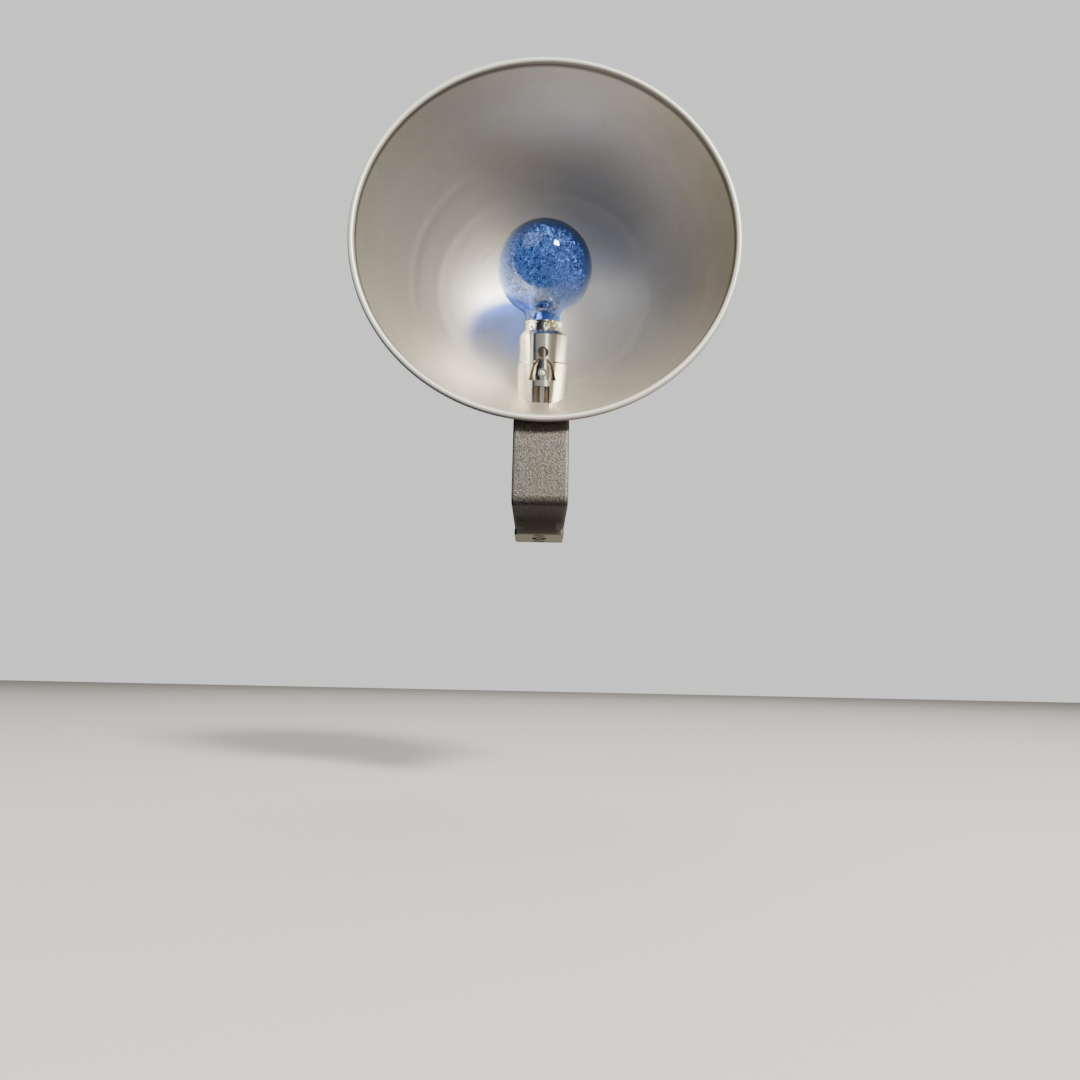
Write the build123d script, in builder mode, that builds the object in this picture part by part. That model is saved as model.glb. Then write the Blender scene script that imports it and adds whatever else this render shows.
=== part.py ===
"""Flash bulb gun: spun reflector, bayonet flash bulb and a slim battery case on an accessory-shoe foot.

Millimetres. +Z is up and the reflector faces -Y. The origin is the centre of the shoe foot's underside.
"""
from build123d import *
import os
from math import cos, radians, sin, sqrt, tan

os.makedirs("parts", exist_ok=True)

# ---------------------------------------------------------------- driving dimensions
rim_ahead = 44.0            # rim plane, ahead of the foot's centre
axis_above_case = 36.8      # reflector's axis above the top of the case

rim_radius = 70.0
bead_radius = 1.2
bowl_wall = 0.9
bowl_depth = 58.0
flare_angle = 20.0          # straight outer band of the bowl, measured from its axis
hub_radius = 8.0            # flat seat at the middle of the bowl

case_wall = 0.8
room_above_battery = 34.8   # for the socket, the ejector and the test button
front_setback = 4.4         # case front, behind the rim plane
front_bend = 3.0            # bend radius along the front lower edge
top_bend = 3.0
side_edge = 1.0             # rounding along the folded side
cover_edge = 0.6
cradle_gap = 0.4            # felt thickness between bowl and case

foot_width = 18.6
foot_length = 18.0
foot_thickness = 2.0
foot_neck_width = 12.4
foot_neck_height = 2.8
foot_corner = 1.2
foot_chamfer = 0.3
backing_thickness = 1.0

bulb_behind_rim = 28.4
bulb_above_axis = 0.9
socket_lean = 15.0
globe_radius = 18.4
glass_wall = 0.7
base_radius = 7.5
base_wall = 0.4
pin_radius = 1.0
pin_height = 1.0            # bayonet pin, out of the bulb's base

battery_width = 15.9
battery_height = 26.4
battery_length = 50.5
battery_corner = 2.0
battery_side_gap = 0.9
battery_front_room = 3.3    # for the insulator and the leaf contact
battery_rear_room = 10.0    # for the door's spring and catch

ejector_travel = 3.0
running_clearance = 0.1
hinge_clearance = 0.05

# ---------------------------------------------------------------- derived places
case_width = battery_width + 2 * (battery_side_gap + case_wall)
case_depth = battery_length + battery_front_room + battery_rear_room + 2 * case_wall
case_height = battery_height + room_above_battery
half_width = case_width / 2
inner_half = half_width - case_wall
bottom_z = foot_thickness + foot_neck_height
top_z = bottom_z + case_height
foot_to_axis = top_z + axis_above_case
front_y = front_setback - rim_ahead
rear_y = front_y + case_depth
rear_inner_y = rear_y - case_wall
floor_z = bottom_z + case_wall

mouth_radius = rim_radius - 2 * bead_radius
flare = radians(flare_angle)
back_radius = (mouth_radius + (bead_radius - bowl_depth) * tan(flare)) / (
    cos(flare) - (1 - sin(flare)) * tan(flare)
)
bowl_centre_u = bowl_depth - back_radius
bowl_centre_y = bowl_centre_u - rim_ahead
hub_u = bowl_centre_u + sqrt(back_radius**2 - hub_radius**2)
hub_outer_u = bowl_centre_u + sqrt((back_radius + bowl_wall) ** 2 - hub_radius**2)
hub_y = hub_u - rim_ahead
hub_outer_y = hub_outer_u - rim_ahead

reflector_plane = Plane(origin=(0, -rim_ahead, foot_to_axis), x_dir=(0, 1, 0), z_dir=(1, 0, 0))
reflector_axis = Axis((0, -rim_ahead, foot_to_axis), (0, 1, 0))

lean = radians(socket_lean)
socket_up = Vector(0, -sin(lean), cos(lean))
socket_back = Vector(0, cos(lean), sin(lean))
bulb_centre = Vector(0, bulb_behind_rim - rim_ahead, foot_to_axis + bulb_above_axis)
socket_axis = Axis(bulb_centre, socket_up)
# the socket's own section: x across, y up along the leaning axis, normal towards the front
socket_section = Plane(origin=bulb_centre, x_dir=(1, 0, 0), z_dir=-socket_back)


def socket_plane(level):
    """Cross-section of the socket at a level along its axis, zero at the globe's centre."""
    return Plane(origin=bulb_centre + socket_up * level, x_dir=(1, 0, 0), z_dir=socket_up)


def socket_yz(level, back):
    """World (y, z) of a point on the socket's middle plane."""
    point = bulb_centre + socket_up * level + socket_back * back
    return (point.Y, point.Z)


def arc_point(radius, degrees):
    """Point on a circle about the bowl's centre, as (depth behind the rim, radius)."""
    return (bowl_centre_u + radius * cos(radians(degrees)), radius * sin(radians(degrees)))


def write(piece, name):
    """Label a finished piece and write its STEP file."""
    piece.part.label = name
    export_step(piece.part, f"parts/{name}.step")


def coil(plane, radius, wire, turns, height):
    """Round-wire coil spring that starts on the plane."""
    with BuildPart() as spring:
        with BuildLine() as path:
            Helix(height / turns, height, radius, center=plane.origin, direction=plane.z_dir)
        with BuildSketch(Plane(origin=path.line @ 0, z_dir=path.line % 0)):
            Circle(wire)
        sweep(path=path.line, is_frenet=True)
    return spring.part


# ---------------------------------------------------------------- reflector
arc_middle = (90 - flare_angle) / 2    # degrees from the axis, for the arcs' middle points

with BuildPart() as reflector_bowl:
    with BuildSketch(reflector_plane):
        with BuildLine():
            inner_tangent = arc_point(back_radius, 90 - flare_angle)
            outer_tangent = arc_point(back_radius + bowl_wall, 90 - flare_angle)
            lip_outer = (bead_radius, mouth_radius + bowl_wall / cos(flare))
            Polyline((hub_outer_u, hub_radius), (hub_outer_u, 0), (hub_u, 0), (hub_u, hub_radius))
            ThreePointArc((hub_u, hub_radius), arc_point(back_radius, arc_middle), inner_tangent)
            Polyline(inner_tangent, (bead_radius, mouth_radius), lip_outer, outer_tangent)
            ThreePointArc(
                outer_tangent,
                arc_point(back_radius + bowl_wall, arc_middle),
                (hub_outer_u, hub_radius),
            )
        make_face()
        with Locations((bead_radius, rim_radius - bead_radius)):
            Circle(bead_radius)
    revolve(axis=reflector_axis)

pin_reach = base_radius + pin_height
sleeve_radius = pin_reach + running_clearance
passage_radius = sleeve_radius + 0.2
hub_screw_radius = 2.0


def bore(part_plane, radius, depth):
    """Cut a round hole of a given depth from the plane, along its normal."""
    with BuildSketch(part_plane) as mouth:
        Circle(radius)
    extrude(mouth.sketch, amount=depth, mode=Mode.SUBTRACT)


passage_top = -30.0
passage_length = 26.0

with reflector_bowl:
    with BuildSketch(socket_plane(passage_top)):
        Circle(passage_radius)
    extrude(amount=-passage_length, mode=Mode.SUBTRACT)
    with BuildSketch(Plane.XZ.offset(-hub_y + bowl_wall)):
        with Locations((0, foot_to_axis)):
            Circle(hub_screw_radius)
    extrude(amount=-3 * bowl_wall, mode=Mode.SUBTRACT)
write(reflector_bowl, "reflector_bowl")

# ---------------------------------------------------------------- case
hinge_radius = 1.5
hinge_pin_radius = 0.8
hinge_y = rear_y - hinge_radius
hinge_z = bottom_z + hinge_radius
tray_gap = 0.2
battery_low_z = hinge_z + hinge_radius + tray_gap
battery_top_z = battery_low_z + battery_height
door_top_z = battery_top_z + 0.8
door_gap = 0.2
door_lower_z = hinge_z + 2.3
post_radius = 1.6
post_places = [
    (front_y + 17.6, battery_top_z + 2.5),
    (rear_y - 4.3, door_top_z + 4.3),
    (rear_y - 11.8, top_z - 4.0),
]
screw_shank_radius = 1.0
screw_head_radius = screw_shank_radius + case_wall
screw_length = 2.0
slot_width = 0.5
slot_depth = 0.45
button_z = top_z - 8.0
button_x = -4.4
button_radius = 3.0
lamp_z = button_z - 11.5
lens_radius = 2.4
arm_x = 5.6
arm_thickness = 1.0
arm_slot_gap = 0.25
socket_tab_level = -59.4
foot_screw_y = 6.0
foot_screw_radius = 1.25
foot_screw_head = 2.4
bush_radius = 2.8
rivet_radius = 1.5
rivet_x = 3.6
rivet_y = rear_y - 5.8
rivet_head_radius = rivet_radius + 0.9


def case_side(inset):
    """Side outline of the case, drawn as (y, z), shrunk evenly by the inset."""
    radius = back_radius + bowl_wall + cradle_gap + inset
    low_y = front_y + inset
    high_y = rear_y - inset
    low_z = bottom_z + inset
    high_z = top_z - inset
    tangent_y = bowl_centre_y + radius * sin(flare)
    tangent_z = foot_to_axis - radius * cos(flare)
    front_top_z = tangent_z - (tangent_y - low_y) * tan(flare)
    end_y = bowl_centre_y + sqrt(radius**2 - (foot_to_axis - high_z) ** 2)
    middle = radians(55)
    with BuildSketch() as side:
        with BuildLine():
            Polyline(
                (end_y, high_z),
                (high_y, high_z),
                (high_y, low_z),
                (low_y, low_z),
                (low_y, front_top_z),
                (tangent_y, tangent_z),
            )
            ThreePointArc(
                (tangent_y, tangent_z),
                (bowl_centre_y + radius * cos(middle), foot_to_axis - radius * sin(middle)),
                (end_y, high_z),
            )
        make_face()
        corners = side.vertices()
        fillet(corners.sort_by_distance((low_y, low_z))[0], front_bend - inset)
        fillet(side.vertices().sort_by_distance((high_y, low_z))[0], hinge_radius - inset)
        fillet(side.vertices().sort_by_distance((high_y, high_z))[0], top_bend - inset)
    return side.sketch


def countersink(surface_plane, places, head_radius, shank_radius, length):
    """Cut countersunk holes along the plane's normal, which points into the piece."""
    with BuildSketch(surface_plane) as heads:
        with Locations(*places):
            Circle(head_radius)
    extrude(heads.sketch, amount=head_radius - shank_radius, taper=45, mode=Mode.SUBTRACT)
    with BuildSketch(surface_plane) as shanks:
        with Locations(*places):
            Circle(shank_radius)
    extrude(shanks.sketch, amount=length, mode=Mode.SUBTRACT)


def screws(surface_plane, places, head_radius, shank_radius, length):
    """Countersunk slotted screws whose heads lie flush with the plane."""
    with BuildPart() as group:
        with BuildSketch(surface_plane):
            with Locations(*places):
                Circle(head_radius)
        extrude(amount=head_radius - shank_radius, taper=45)
        with BuildSketch(surface_plane):
            with Locations(*places):
                Circle(shank_radius)
        extrude(amount=length)
        with BuildSketch(surface_plane):
            with Locations(*places):
                Rectangle(2.2 * head_radius, slot_width, rotation=35)
        extrude(amount=slot_depth, mode=Mode.SUBTRACT)
    return group.part


# planes on the case's outside, with normals that point into it
left_plane = Plane(origin=(-half_width, 0, 0), x_dir=(0, 1, 0), z_dir=(1, 0, 0))
right_plane = Plane(origin=(half_width, 0, 0), x_dir=(0, -1, 0), z_dir=(-1, 0, 0))
rear_plane = Plane(origin=(0, rear_y, 0), x_dir=(1, 0, 0), z_dir=(0, -1, 0))
tab_y, tab_z = socket_yz(socket_tab_level, 0)
foot_screw_places = [(0, -foot_screw_y), (0, foot_screw_y)]


def box_cut(low, high):
    """Cut an axis-aligned box given by its lowest and highest corners."""
    size = [high[i] - low[i] for i in range(3)]
    centre = [(high[i] + low[i]) / 2 for i in range(3)]
    with Locations(tuple(centre)):
        Box(*size, mode=Mode.SUBTRACT)


arm_slot_low_z = bulb_centre.Z - 52.7
arm_slot_high_z = bulb_centre.Z - 44.8

with BuildPart() as case_body:
    with BuildSketch(Plane.YZ.offset(-half_width)):
        add(case_side(0))
    extrude(amount=case_width - case_wall)
    fillet(case_body.faces().sort_by(Axis.X)[0].edges(), side_edge)
    with BuildSketch(Plane.YZ.offset(-inner_half)):
        add(case_side(case_wall))
    extrude(amount=case_width, mode=Mode.SUBTRACT)
    # rear opening for the battery, closed by the door
    opening_top_z = door_top_z + door_gap
    barrel_front_y = hinge_y - hinge_radius - 0.3
    box_cut((-half_width - 1, rear_inner_y - 0.1, hinge_z + 1), (half_width, rear_y + 1, opening_top_z))
    box_cut((-inner_half, barrel_front_y, 0), (half_width, rear_y + 1, hinge_z + 3))
    with BuildSketch(Plane.YZ.offset(-half_width - 1)):
        with Locations((hinge_y, hinge_z)):
            Circle(hinge_pin_radius)
    extrude(amount=case_width, mode=Mode.SUBTRACT)
    # passage for the socket
    with BuildSketch(socket_plane(passage_top)):
        Circle(passage_radius)
    extrude(amount=-passage_length, mode=Mode.SUBTRACT)
    # foot screws and centre contact
    with BuildSketch(Plane.XY):
        with Locations(*foot_screw_places):
            Circle(foot_screw_radius)
        Circle(bush_radius)
    extrude(amount=floor_z + 1, mode=Mode.SUBTRACT)
    # rear wall: test button, lamp and the ejector's slot
    with BuildSketch(rear_plane):
        with Locations((button_x, button_z)):
            Circle(button_radius + hinge_clearance)
        with Locations((button_x, lamp_z)):
            Circle(lens_radius)
    extrude(amount=2 * case_wall, mode=Mode.SUBTRACT)
    box_cut(
        (arm_x - arm_slot_gap, rear_inner_y - 1, arm_slot_low_z),
        (arm_x + arm_thickness + arm_slot_gap, rear_y + 1, arm_slot_high_z),
    )
    with BuildSketch(Plane.XY.offset(top_z)):
        with Locations((-rivet_x, rivet_y), (rivet_x, rivet_y)):
            Circle(rivet_radius)
    extrude(amount=-2 * case_wall, mode=Mode.SUBTRACT)
    countersink(left_plane, [(tab_y, tab_z)], screw_head_radius, screw_shank_radius, screw_length)
write(case_body, "case_body")

with BuildPart() as case_cover:
    with BuildSketch(Plane.YZ.offset(inner_half)):
        add(case_side(0))
    extrude(amount=case_wall)
    fillet(case_cover.faces().sort_by(Axis.X)[-1].edges(), cover_edge)
    box_cut((0, rear_inner_y - 0.1, hinge_z + 1), (half_width + 1, rear_y + 1, opening_top_z))
    with BuildSketch(Plane.YZ.offset(0)):
        with Locations((hinge_y, hinge_z)):
            Circle(hinge_pin_radius)
    extrude(amount=case_width, mode=Mode.SUBTRACT)
    cover_places = [(-y, z) for y, z in post_places + [(tab_y, tab_z)]]
    countersink(right_plane, cover_places, screw_head_radius, screw_shank_radius, screw_length)
write(case_cover, "case_cover")

with BuildPart() as cover_posts:
    with BuildSketch(Plane.YZ.offset(-inner_half)):
        with Locations(*post_places):
            Circle(post_radius)
    extrude(amount=2 * inner_half)
    with BuildSketch(Plane.YZ.offset(inner_half)):
        with Locations(*post_places):
            Circle(screw_shank_radius)
    extrude(amount=-3.2, mode=Mode.SUBTRACT)
write(cover_posts, "cover_posts")

with BuildPart() as cover_screws:
    places = [(-y, z) for y, z in post_places]
    add(screws(right_plane, places, screw_head_radius, screw_shank_radius, 4.0))
write(cover_screws, "cover_screws")

with BuildPart() as hinge_pin:
    with BuildSketch(Plane.YZ.offset(-half_width)):
        with Locations((hinge_y, hinge_z)):
            Circle(hinge_pin_radius)
    extrude(amount=case_width)
write(hinge_pin, "hinge_pin")

# ---------------------------------------------------------------- accessory-shoe foot
with BuildPart() as shoe_foot:
    with BuildSketch(Plane.XY):
        RectangleRounded(foot_width, foot_length, foot_corner)
    extrude(amount=foot_thickness)
    chamfer(shoe_foot.faces().sort_by(Axis.Z)[0].edges(), foot_chamfer)
    with BuildSketch(Plane.XY.offset(foot_thickness)):
        Rectangle(foot_neck_width, foot_length)
    extrude(amount=foot_neck_height)
    countersink(Plane.XY, foot_screw_places, foot_screw_head, foot_screw_radius, bottom_z + 1)
    bore(Plane.XY, bush_radius, bottom_z + 1)
write(shoe_foot, "shoe_foot")

backing_top = floor_z + backing_thickness
with BuildPart() as foot_backing:
    with BuildSketch(Plane.XY.offset(floor_z)):
        Rectangle(14.0, foot_length)
        with Locations(*foot_screw_places):
            Circle(foot_screw_radius, mode=Mode.SUBTRACT)
        Circle(bush_radius, mode=Mode.SUBTRACT)
    extrude(amount=backing_thickness)
write(foot_backing, "foot_backing")

with BuildPart() as foot_screws:
    add(screws(Plane.XY, foot_screw_places, foot_screw_head, foot_screw_radius, backing_top))
write(foot_screws, "foot_screws")

contact_radius = 1.6
with BuildPart() as foot_insulator:
    with BuildSketch(Plane.XY):
        Circle(bush_radius)
        Circle(contact_radius, mode=Mode.SUBTRACT)
    extrude(amount=backing_top)
write(foot_insulator, "foot_insulator")

with BuildPart() as foot_contact:
    with BuildSketch(Plane.XY):
        Circle(contact_radius)
    extrude(amount=backing_top + 0.8)
    fillet(foot_contact.faces().sort_by(Axis.Z)[0].edges(), 0.3)
write(foot_contact, "foot_contact")

# ---------------------------------------------------------------- reflector fixing
bracket_thickness = 1.5
bracket_width = 12.0
bracket_reach = 8.0         # above the reflector's axis
bracket_rear_y = hub_outer_y + bracket_thickness
bracket_tab_y = rear_y - 2.6

with BuildPart() as reflector_bracket:
    with BuildSketch(Plane.YZ.offset(-bracket_width / 2)) as bracket_side:
        with BuildLine():
            Polyline(
                (hub_outer_y, foot_to_axis + bracket_reach),
                (hub_outer_y, top_z),
                (bracket_tab_y, top_z),
                (bracket_tab_y, top_z + bracket_thickness),
                (bracket_rear_y, top_z + bracket_thickness),
                (bracket_rear_y, foot_to_axis + bracket_reach),
                close=True,
            )
        make_face()
        fillet(bracket_side.vertices().sort_by_distance((hub_outer_y, top_z))[0], 2.5)
        inner_corner = (bracket_rear_y, top_z + bracket_thickness)
        fillet(bracket_side.vertices().sort_by_distance(inner_corner)[0], 1.0)
    extrude(amount=bracket_width)
    top_edges = reflector_bracket.edges().filter_by(Axis.Y).group_by(Axis.Z)[-1]
    fillet(top_edges, bracket_width / 2 - 0.05)
    with BuildSketch(Plane.XZ.offset(-hub_outer_y)):
        with Locations((0, foot_to_axis)):
            Circle(hub_screw_radius)
    extrude(amount=-2 * bracket_thickness, mode=Mode.SUBTRACT)
    with BuildSketch(Plane.XY.offset(top_z)):
        with Locations((-rivet_x, rivet_y), (rivet_x, rivet_y)):
            Circle(rivet_radius)
    extrude(amount=2 * bracket_thickness, mode=Mode.SUBTRACT)
write(reflector_bracket, "reflector_bracket")

with BuildPart() as bracket_rivets:
    for x in (-rivet_x, rivet_x):
        with BuildSketch(Plane.XY.offset(top_z - case_wall)):
            with Locations((x, rivet_y)):
                Circle(rivet_radius)
        extrude(amount=case_wall + bracket_thickness)
        for level, height in ((top_z + bracket_thickness, 0.8), (top_z - case_wall, -0.6)):
            with BuildSketch(Plane.XY.offset(level)):
                with Locations((x, rivet_y)):
                    Circle(rivet_head_radius)
            extrude(amount=height)
write(bracket_rivets, "bracket_rivets")

hub_screw_head = 3.6
screw_head_height = 1.8
nut_flat = 4.0              # centre of the nut to its corners
nut_height = 3.0
with BuildPart() as reflector_screw:
    with BuildSketch(Plane.XZ.offset(-hub_y)):
        with Locations((0, foot_to_axis)):
            Circle(hub_screw_head)
    extrude(amount=screw_head_height)
    fillet(reflector_screw.faces().sort_by(Axis.Y)[0].edges(), 0.7)
    with BuildSketch(Plane.XZ.offset(-hub_y)):
        with Locations((0, foot_to_axis)):
            Circle(hub_screw_radius)
    extrude(amount=-(bracket_rear_y - hub_y + nut_height + 1))
    with BuildSketch(Plane.XZ.offset(-hub_y + screw_head_height)):
        with Locations((0, foot_to_axis)):
            Rectangle(2.5 * hub_screw_head, 0.9)
    extrude(amount=-0.8, mode=Mode.SUBTRACT)
write(reflector_screw, "reflector_screw")

with BuildPart() as reflector_nut:
    with BuildSketch(Plane.XZ.offset(-bracket_rear_y)):
        with Locations((0, foot_to_axis)):
            RegularPolygon(nut_flat, 6)
            Circle(hub_screw_radius, mode=Mode.SUBTRACT)
    extrude(amount=-nut_height)
write(reflector_nut, "reflector_nut")

pad_half_width = 4.0
with BuildPart() as cradle_pad:
    with BuildSketch(Plane.YZ.offset(-pad_half_width)):
        with BuildLine():
            pad_start = 62.0
            pad_end = 68.5
            inner = back_radius + bowl_wall
            outer = inner + cradle_gap
            corners = [
                (
                    bowl_centre_y + radius * cos(radians(angle)),
                    foot_to_axis - radius * sin(radians(angle)),
                )
                for radius in (inner, outer)
                for angle in (pad_start, (pad_start + pad_end) / 2, pad_end)
            ]
            ThreePointArc(corners[0], corners[1], corners[2])
            Line(corners[2], corners[5])
            ThreePointArc(corners[5], corners[4], corners[3])
            Line(corners[3], corners[0])
        make_face()
    extrude(amount=2 * pad_half_width)
write(cradle_pad, "cradle_pad")

# ---------------------------------------------------------------- bulb socket
shell_lip_radius = base_radius + 0.6
shell_radius = sleeve_radius + 1.0
shell_lower_radius = shell_radius + 0.4
mouth_level = -24.5
shoulder_level = -26.3
step_level = -36.5
bore_radius = base_radius + running_clearance
lower_bore_radius = base_radius + 0.5
ledge_level = -43.4
sleeve_end_level = -57.0
window_head_level = -33.3
window_head_radius = 2.1
window_top_level = -35.6
window_bottom_level = -43.8
window_top_half = 2.6
window_bottom_half = 5.3
window_waist = 2.4          # from the window's top down to its shoulders
window_flare = 1.2
window_corner = 1.2
slot_top_level = -46.0
slot_half = 2.85
groove_half = pin_radius + 0.15
groove_end_level = -42.2
latch_end_level = -54.0
front_reach = 12.0


def window_face(grow=0.0):
    """Flared front window, drawn on the socket's section."""
    waist_half = window_top_half + window_flare + grow
    crown_half = window_top_half - 0.9
    with BuildSketch() as window:
        with BuildLine():
            Polyline(
                (-window_bottom_half - grow, window_bottom_level - grow),
                (window_bottom_half + grow, window_bottom_level - grow),
                (waist_half, window_top_level - window_waist),
                (crown_half, window_top_level + grow),
                (-crown_half, window_top_level + grow),
                (-waist_half, window_top_level - window_waist),
                close=True,
            )
        make_face()
        shoulders = window.vertices().group_by(Axis.Y)[1]
        fillet(shoulders, window_corner)
    return window.sketch


with BuildPart() as socket_shell:
    with BuildSketch(socket_section):
        with BuildLine():
            Polyline(
                (bore_radius + 0.05, mouth_level),
                (shell_lip_radius, mouth_level),
                (shell_radius, shoulder_level),
                (shell_radius, step_level),
                (shell_lower_radius, step_level - 0.6),
                (shell_lower_radius, sleeve_end_level),
                (sleeve_radius, sleeve_end_level),
                (sleeve_radius, mouth_level - 0.8),
                (bore_radius + 0.05, mouth_level - 0.8),
                close=True,
            )
        make_face()
    revolve(axis=socket_axis)
    # trimmed to stand on the inside of the bowl
    with BuildSketch(reflector_plane):
        with Locations((bowl_centre_u, 0)):
            Circle(back_radius)
        Rectangle(4 * rim_radius, 4 * rim_radius, align=(Align.CENTER, Align.MIN), mode=Mode.INTERSECT)
    revolve(axis=reflector_axis, mode=Mode.INTERSECT)
    with BuildSketch(socket_section):
        add(window_face())
        with Locations((0, window_head_level)):
            Circle(window_head_radius)
        with Locations((0, slot_top_level)):
            Rectangle(2 * slot_half, 20, align=(Align.CENTER, Align.MAX))
    extrude(amount=front_reach, mode=Mode.SUBTRACT)
    # entry notches for the two bayonet pins
    with BuildSketch(socket_plane(mouth_level + 1)):
        Rectangle(2 * groove_half, 2 * (pin_reach + 0.15))
    extrude(amount=-3.0, mode=Mode.SUBTRACT)
write(socket_shell, "socket_shell")

sleeve_top = mouth_level - 0.8
arm_low_level = -50.5
arm_high_level = -49.0
with BuildPart() as socket_sleeve:
    with BuildSketch(socket_section):
        with BuildLine():
            Polyline(
                (bore_radius, sleeve_top),
                (sleeve_radius, sleeve_top),
                (sleeve_radius, sleeve_end_level),
                (lower_bore_radius, sleeve_end_level),
                (lower_bore_radius, ledge_level),
                (bore_radius, ledge_level),
                close=True,
            )
        make_face()
    revolve(axis=socket_axis)
    with BuildSketch(socket_plane(sleeve_top)):
        Rectangle(2 * groove_half, 4 * sleeve_radius)
    extrude(amount=groove_end_level - sleeve_top, mode=Mode.SUBTRACT)
    with BuildSketch(socket_section):
        add(window_face(0.3))
        with Locations((0, window_bottom_level)):
            Rectangle(2 * 1.3, window_bottom_level - latch_end_level, align=(Align.CENTER, Align.MAX))
    extrude(amount=front_reach, mode=Mode.SUBTRACT)
    # rear slot for the ejector's arm
    with BuildSketch(socket_section):
        with Locations((arm_x + arm_thickness / 2, arm_low_level - 0.3)):
            Rectangle(
                arm_thickness + 2 * arm_slot_gap,
                arm_high_level - arm_low_level + ejector_travel + 0.6,
                align=(Align.CENTER, Align.MIN),
            )
    extrude(amount=-front_reach, mode=Mode.SUBTRACT)
write(socket_sleeve, "socket_sleeve")

latch_head_radius = 1.75
latch_front = pin_reach
latch_thickness = 0.3
pin_level = -40.8
with BuildPart() as latch_spring:
    with BuildSketch(socket_section.offset(latch_front - latch_thickness)):
        with Locations((0, pin_level)):
            Circle(latch_head_radius)
        with Locations((0, pin_level - 1.4)):
            Rectangle(1.8, pin_level - 1.4 - latch_end_level, align=(Align.CENTER, Align.MAX))
        with Locations((0, latch_end_level)):
            Rectangle(2.6, 1.6, align=(Align.CENTER, Align.MIN))
        with Locations((0, pin_level)):
            Circle(pin_radius + 0.08, mode=Mode.SUBTRACT)
    extrude(amount=latch_thickness)
write(latch_spring, "latch_spring")

plate_low_level = sleeve_end_level
plate_high_level = -55.8
plate_front = -sleeve_radius - 1.8
plate_back = sleeve_radius + 0.6
tab_half = 3.4
tab_low_level = -62.2
with BuildPart() as socket_plate:
    with BuildSketch(socket_plane(plate_low_level)):
        with Locations((0, (plate_front + plate_back) / 2)):
            Rectangle(2 * inner_half, plate_back - plate_front)
        Circle(sleeve_radius, mode=Mode.SUBTRACT)
    extrude(amount=plate_high_level - plate_low_level)
    with BuildSketch(socket_plane(tab_low_level)):
        for side in (-1, 1):
            with Locations((side * (inner_half - 0.6), 0)):
                Rectangle(1.2, 2 * tab_half)
    extrude(amount=plate_low_level - tab_low_level)
    with BuildSketch(Plane.YZ.offset(-half_width)):
        with Locations((tab_y, tab_z)):
            Circle(screw_shank_radius)
    extrude(amount=case_width, mode=Mode.SUBTRACT)
write(socket_plate, "socket_plate")

with BuildPart() as socket_screws:
    add(screws(left_plane, [(tab_y, tab_z)], screw_head_radius, screw_shank_radius, screw_length))
    add(screws(right_plane, [(-tab_y, tab_z)], screw_head_radius, screw_shank_radius, screw_length))
write(socket_screws, "socket_screws")

# ---------------------------------------------------------------- ejector
carrier_radius = lower_bore_radius - running_clearance
carrier_top = -48.0
carrier_bottom = -50.5
boss_bottom = -54.5
boss_radius = 4.0
plunger_radius = 1.2
plunger_head_radius = 2.3
plunger_top = -47.6
plunger_head = 1.0
spring_room_radius = 2.6
spring_floor = -53.0
arm_start = 2.5
pad_gap = 1.1               # thumb pad to the case's rear wall
pad_thickness = 2.7
arm_drop_z = bulb_centre.Z - 52.3
arm_run_z = arm_drop_z + 4.0
arm_leave_y = 8.5
arm_bend_y = arm_leave_y + 3.5

with BuildPart() as ejector_carrier:
    with BuildSketch(socket_plane(carrier_bottom)):
        Circle(carrier_radius)
    extrude(amount=carrier_top - carrier_bottom)
    with BuildSketch(socket_plane(boss_bottom)):
        Circle(boss_radius)
    extrude(amount=carrier_bottom - boss_bottom)
    bore(socket_plane(spring_floor), spring_room_radius, carrier_top - spring_floor)
    bore(socket_plane(boss_bottom), plunger_radius + hinge_clearance, 3.0)
    with BuildSketch(socket_plane(carrier_bottom - 0.1)):
        with Locations((arm_x + arm_thickness / 2, arm_start)):
            Rectangle(arm_thickness, 12, align=(Align.CENTER, Align.MIN))
    extrude(amount=arm_high_level - carrier_bottom + 0.1, mode=Mode.SUBTRACT)
write(ejector_carrier, "ejector_carrier")

pad_y = rear_y + pad_gap
with BuildPart() as ejector_arm:
    with BuildSketch(Plane.YZ.offset(arm_x)):
        leave_back = (arm_leave_y - bulb_centre.Y + arm_low_level * sin(lean)) / cos(lean)
        with BuildLine():
            Polyline(
                socket_yz(arm_high_level, arm_start),
                socket_yz(arm_high_level, leave_back),
                (arm_bend_y, socket_yz(arm_high_level, leave_back)[1]),
                (arm_bend_y, arm_run_z),
                (pad_y, arm_run_z),
                (pad_y, arm_drop_z),
                (arm_leave_y, arm_drop_z),
                socket_yz(arm_low_level, leave_back),
                socket_yz(arm_low_level, arm_start),
                close=True,
            )
        make_face()
    extrude(amount=arm_thickness)
write(ejector_arm, "ejector_arm")

pad_width = 7.0
pad_low_z = arm_drop_z - 3.5
pad_high_z = arm_run_z + 3.5
pad_x = arm_x + arm_thickness / 2 - 0.4
with BuildPart() as ejector_button:
    with BuildSketch(Plane.XZ.offset(-pad_y)):
        with Locations((pad_x, (pad_low_z + pad_high_z) / 2)):
            RectangleRounded(pad_width, pad_high_z - pad_low_z, 1.4)
    extrude(amount=-pad_thickness)
    fillet(ejector_button.faces().sort_by(Axis.Y)[-1].edges(), 0.5)
    groove_pitch = 1.8
    with BuildSketch(Plane.YZ.offset(0)):
        with Locations((pad_y + pad_thickness, (pad_low_z + pad_high_z) / 2)):
            with GridLocations(1, groove_pitch, 1, 5):
                Circle(0.45)
    extrude(amount=half_width + 2, mode=Mode.SUBTRACT)
write(ejector_button, "ejector_button")

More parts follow.
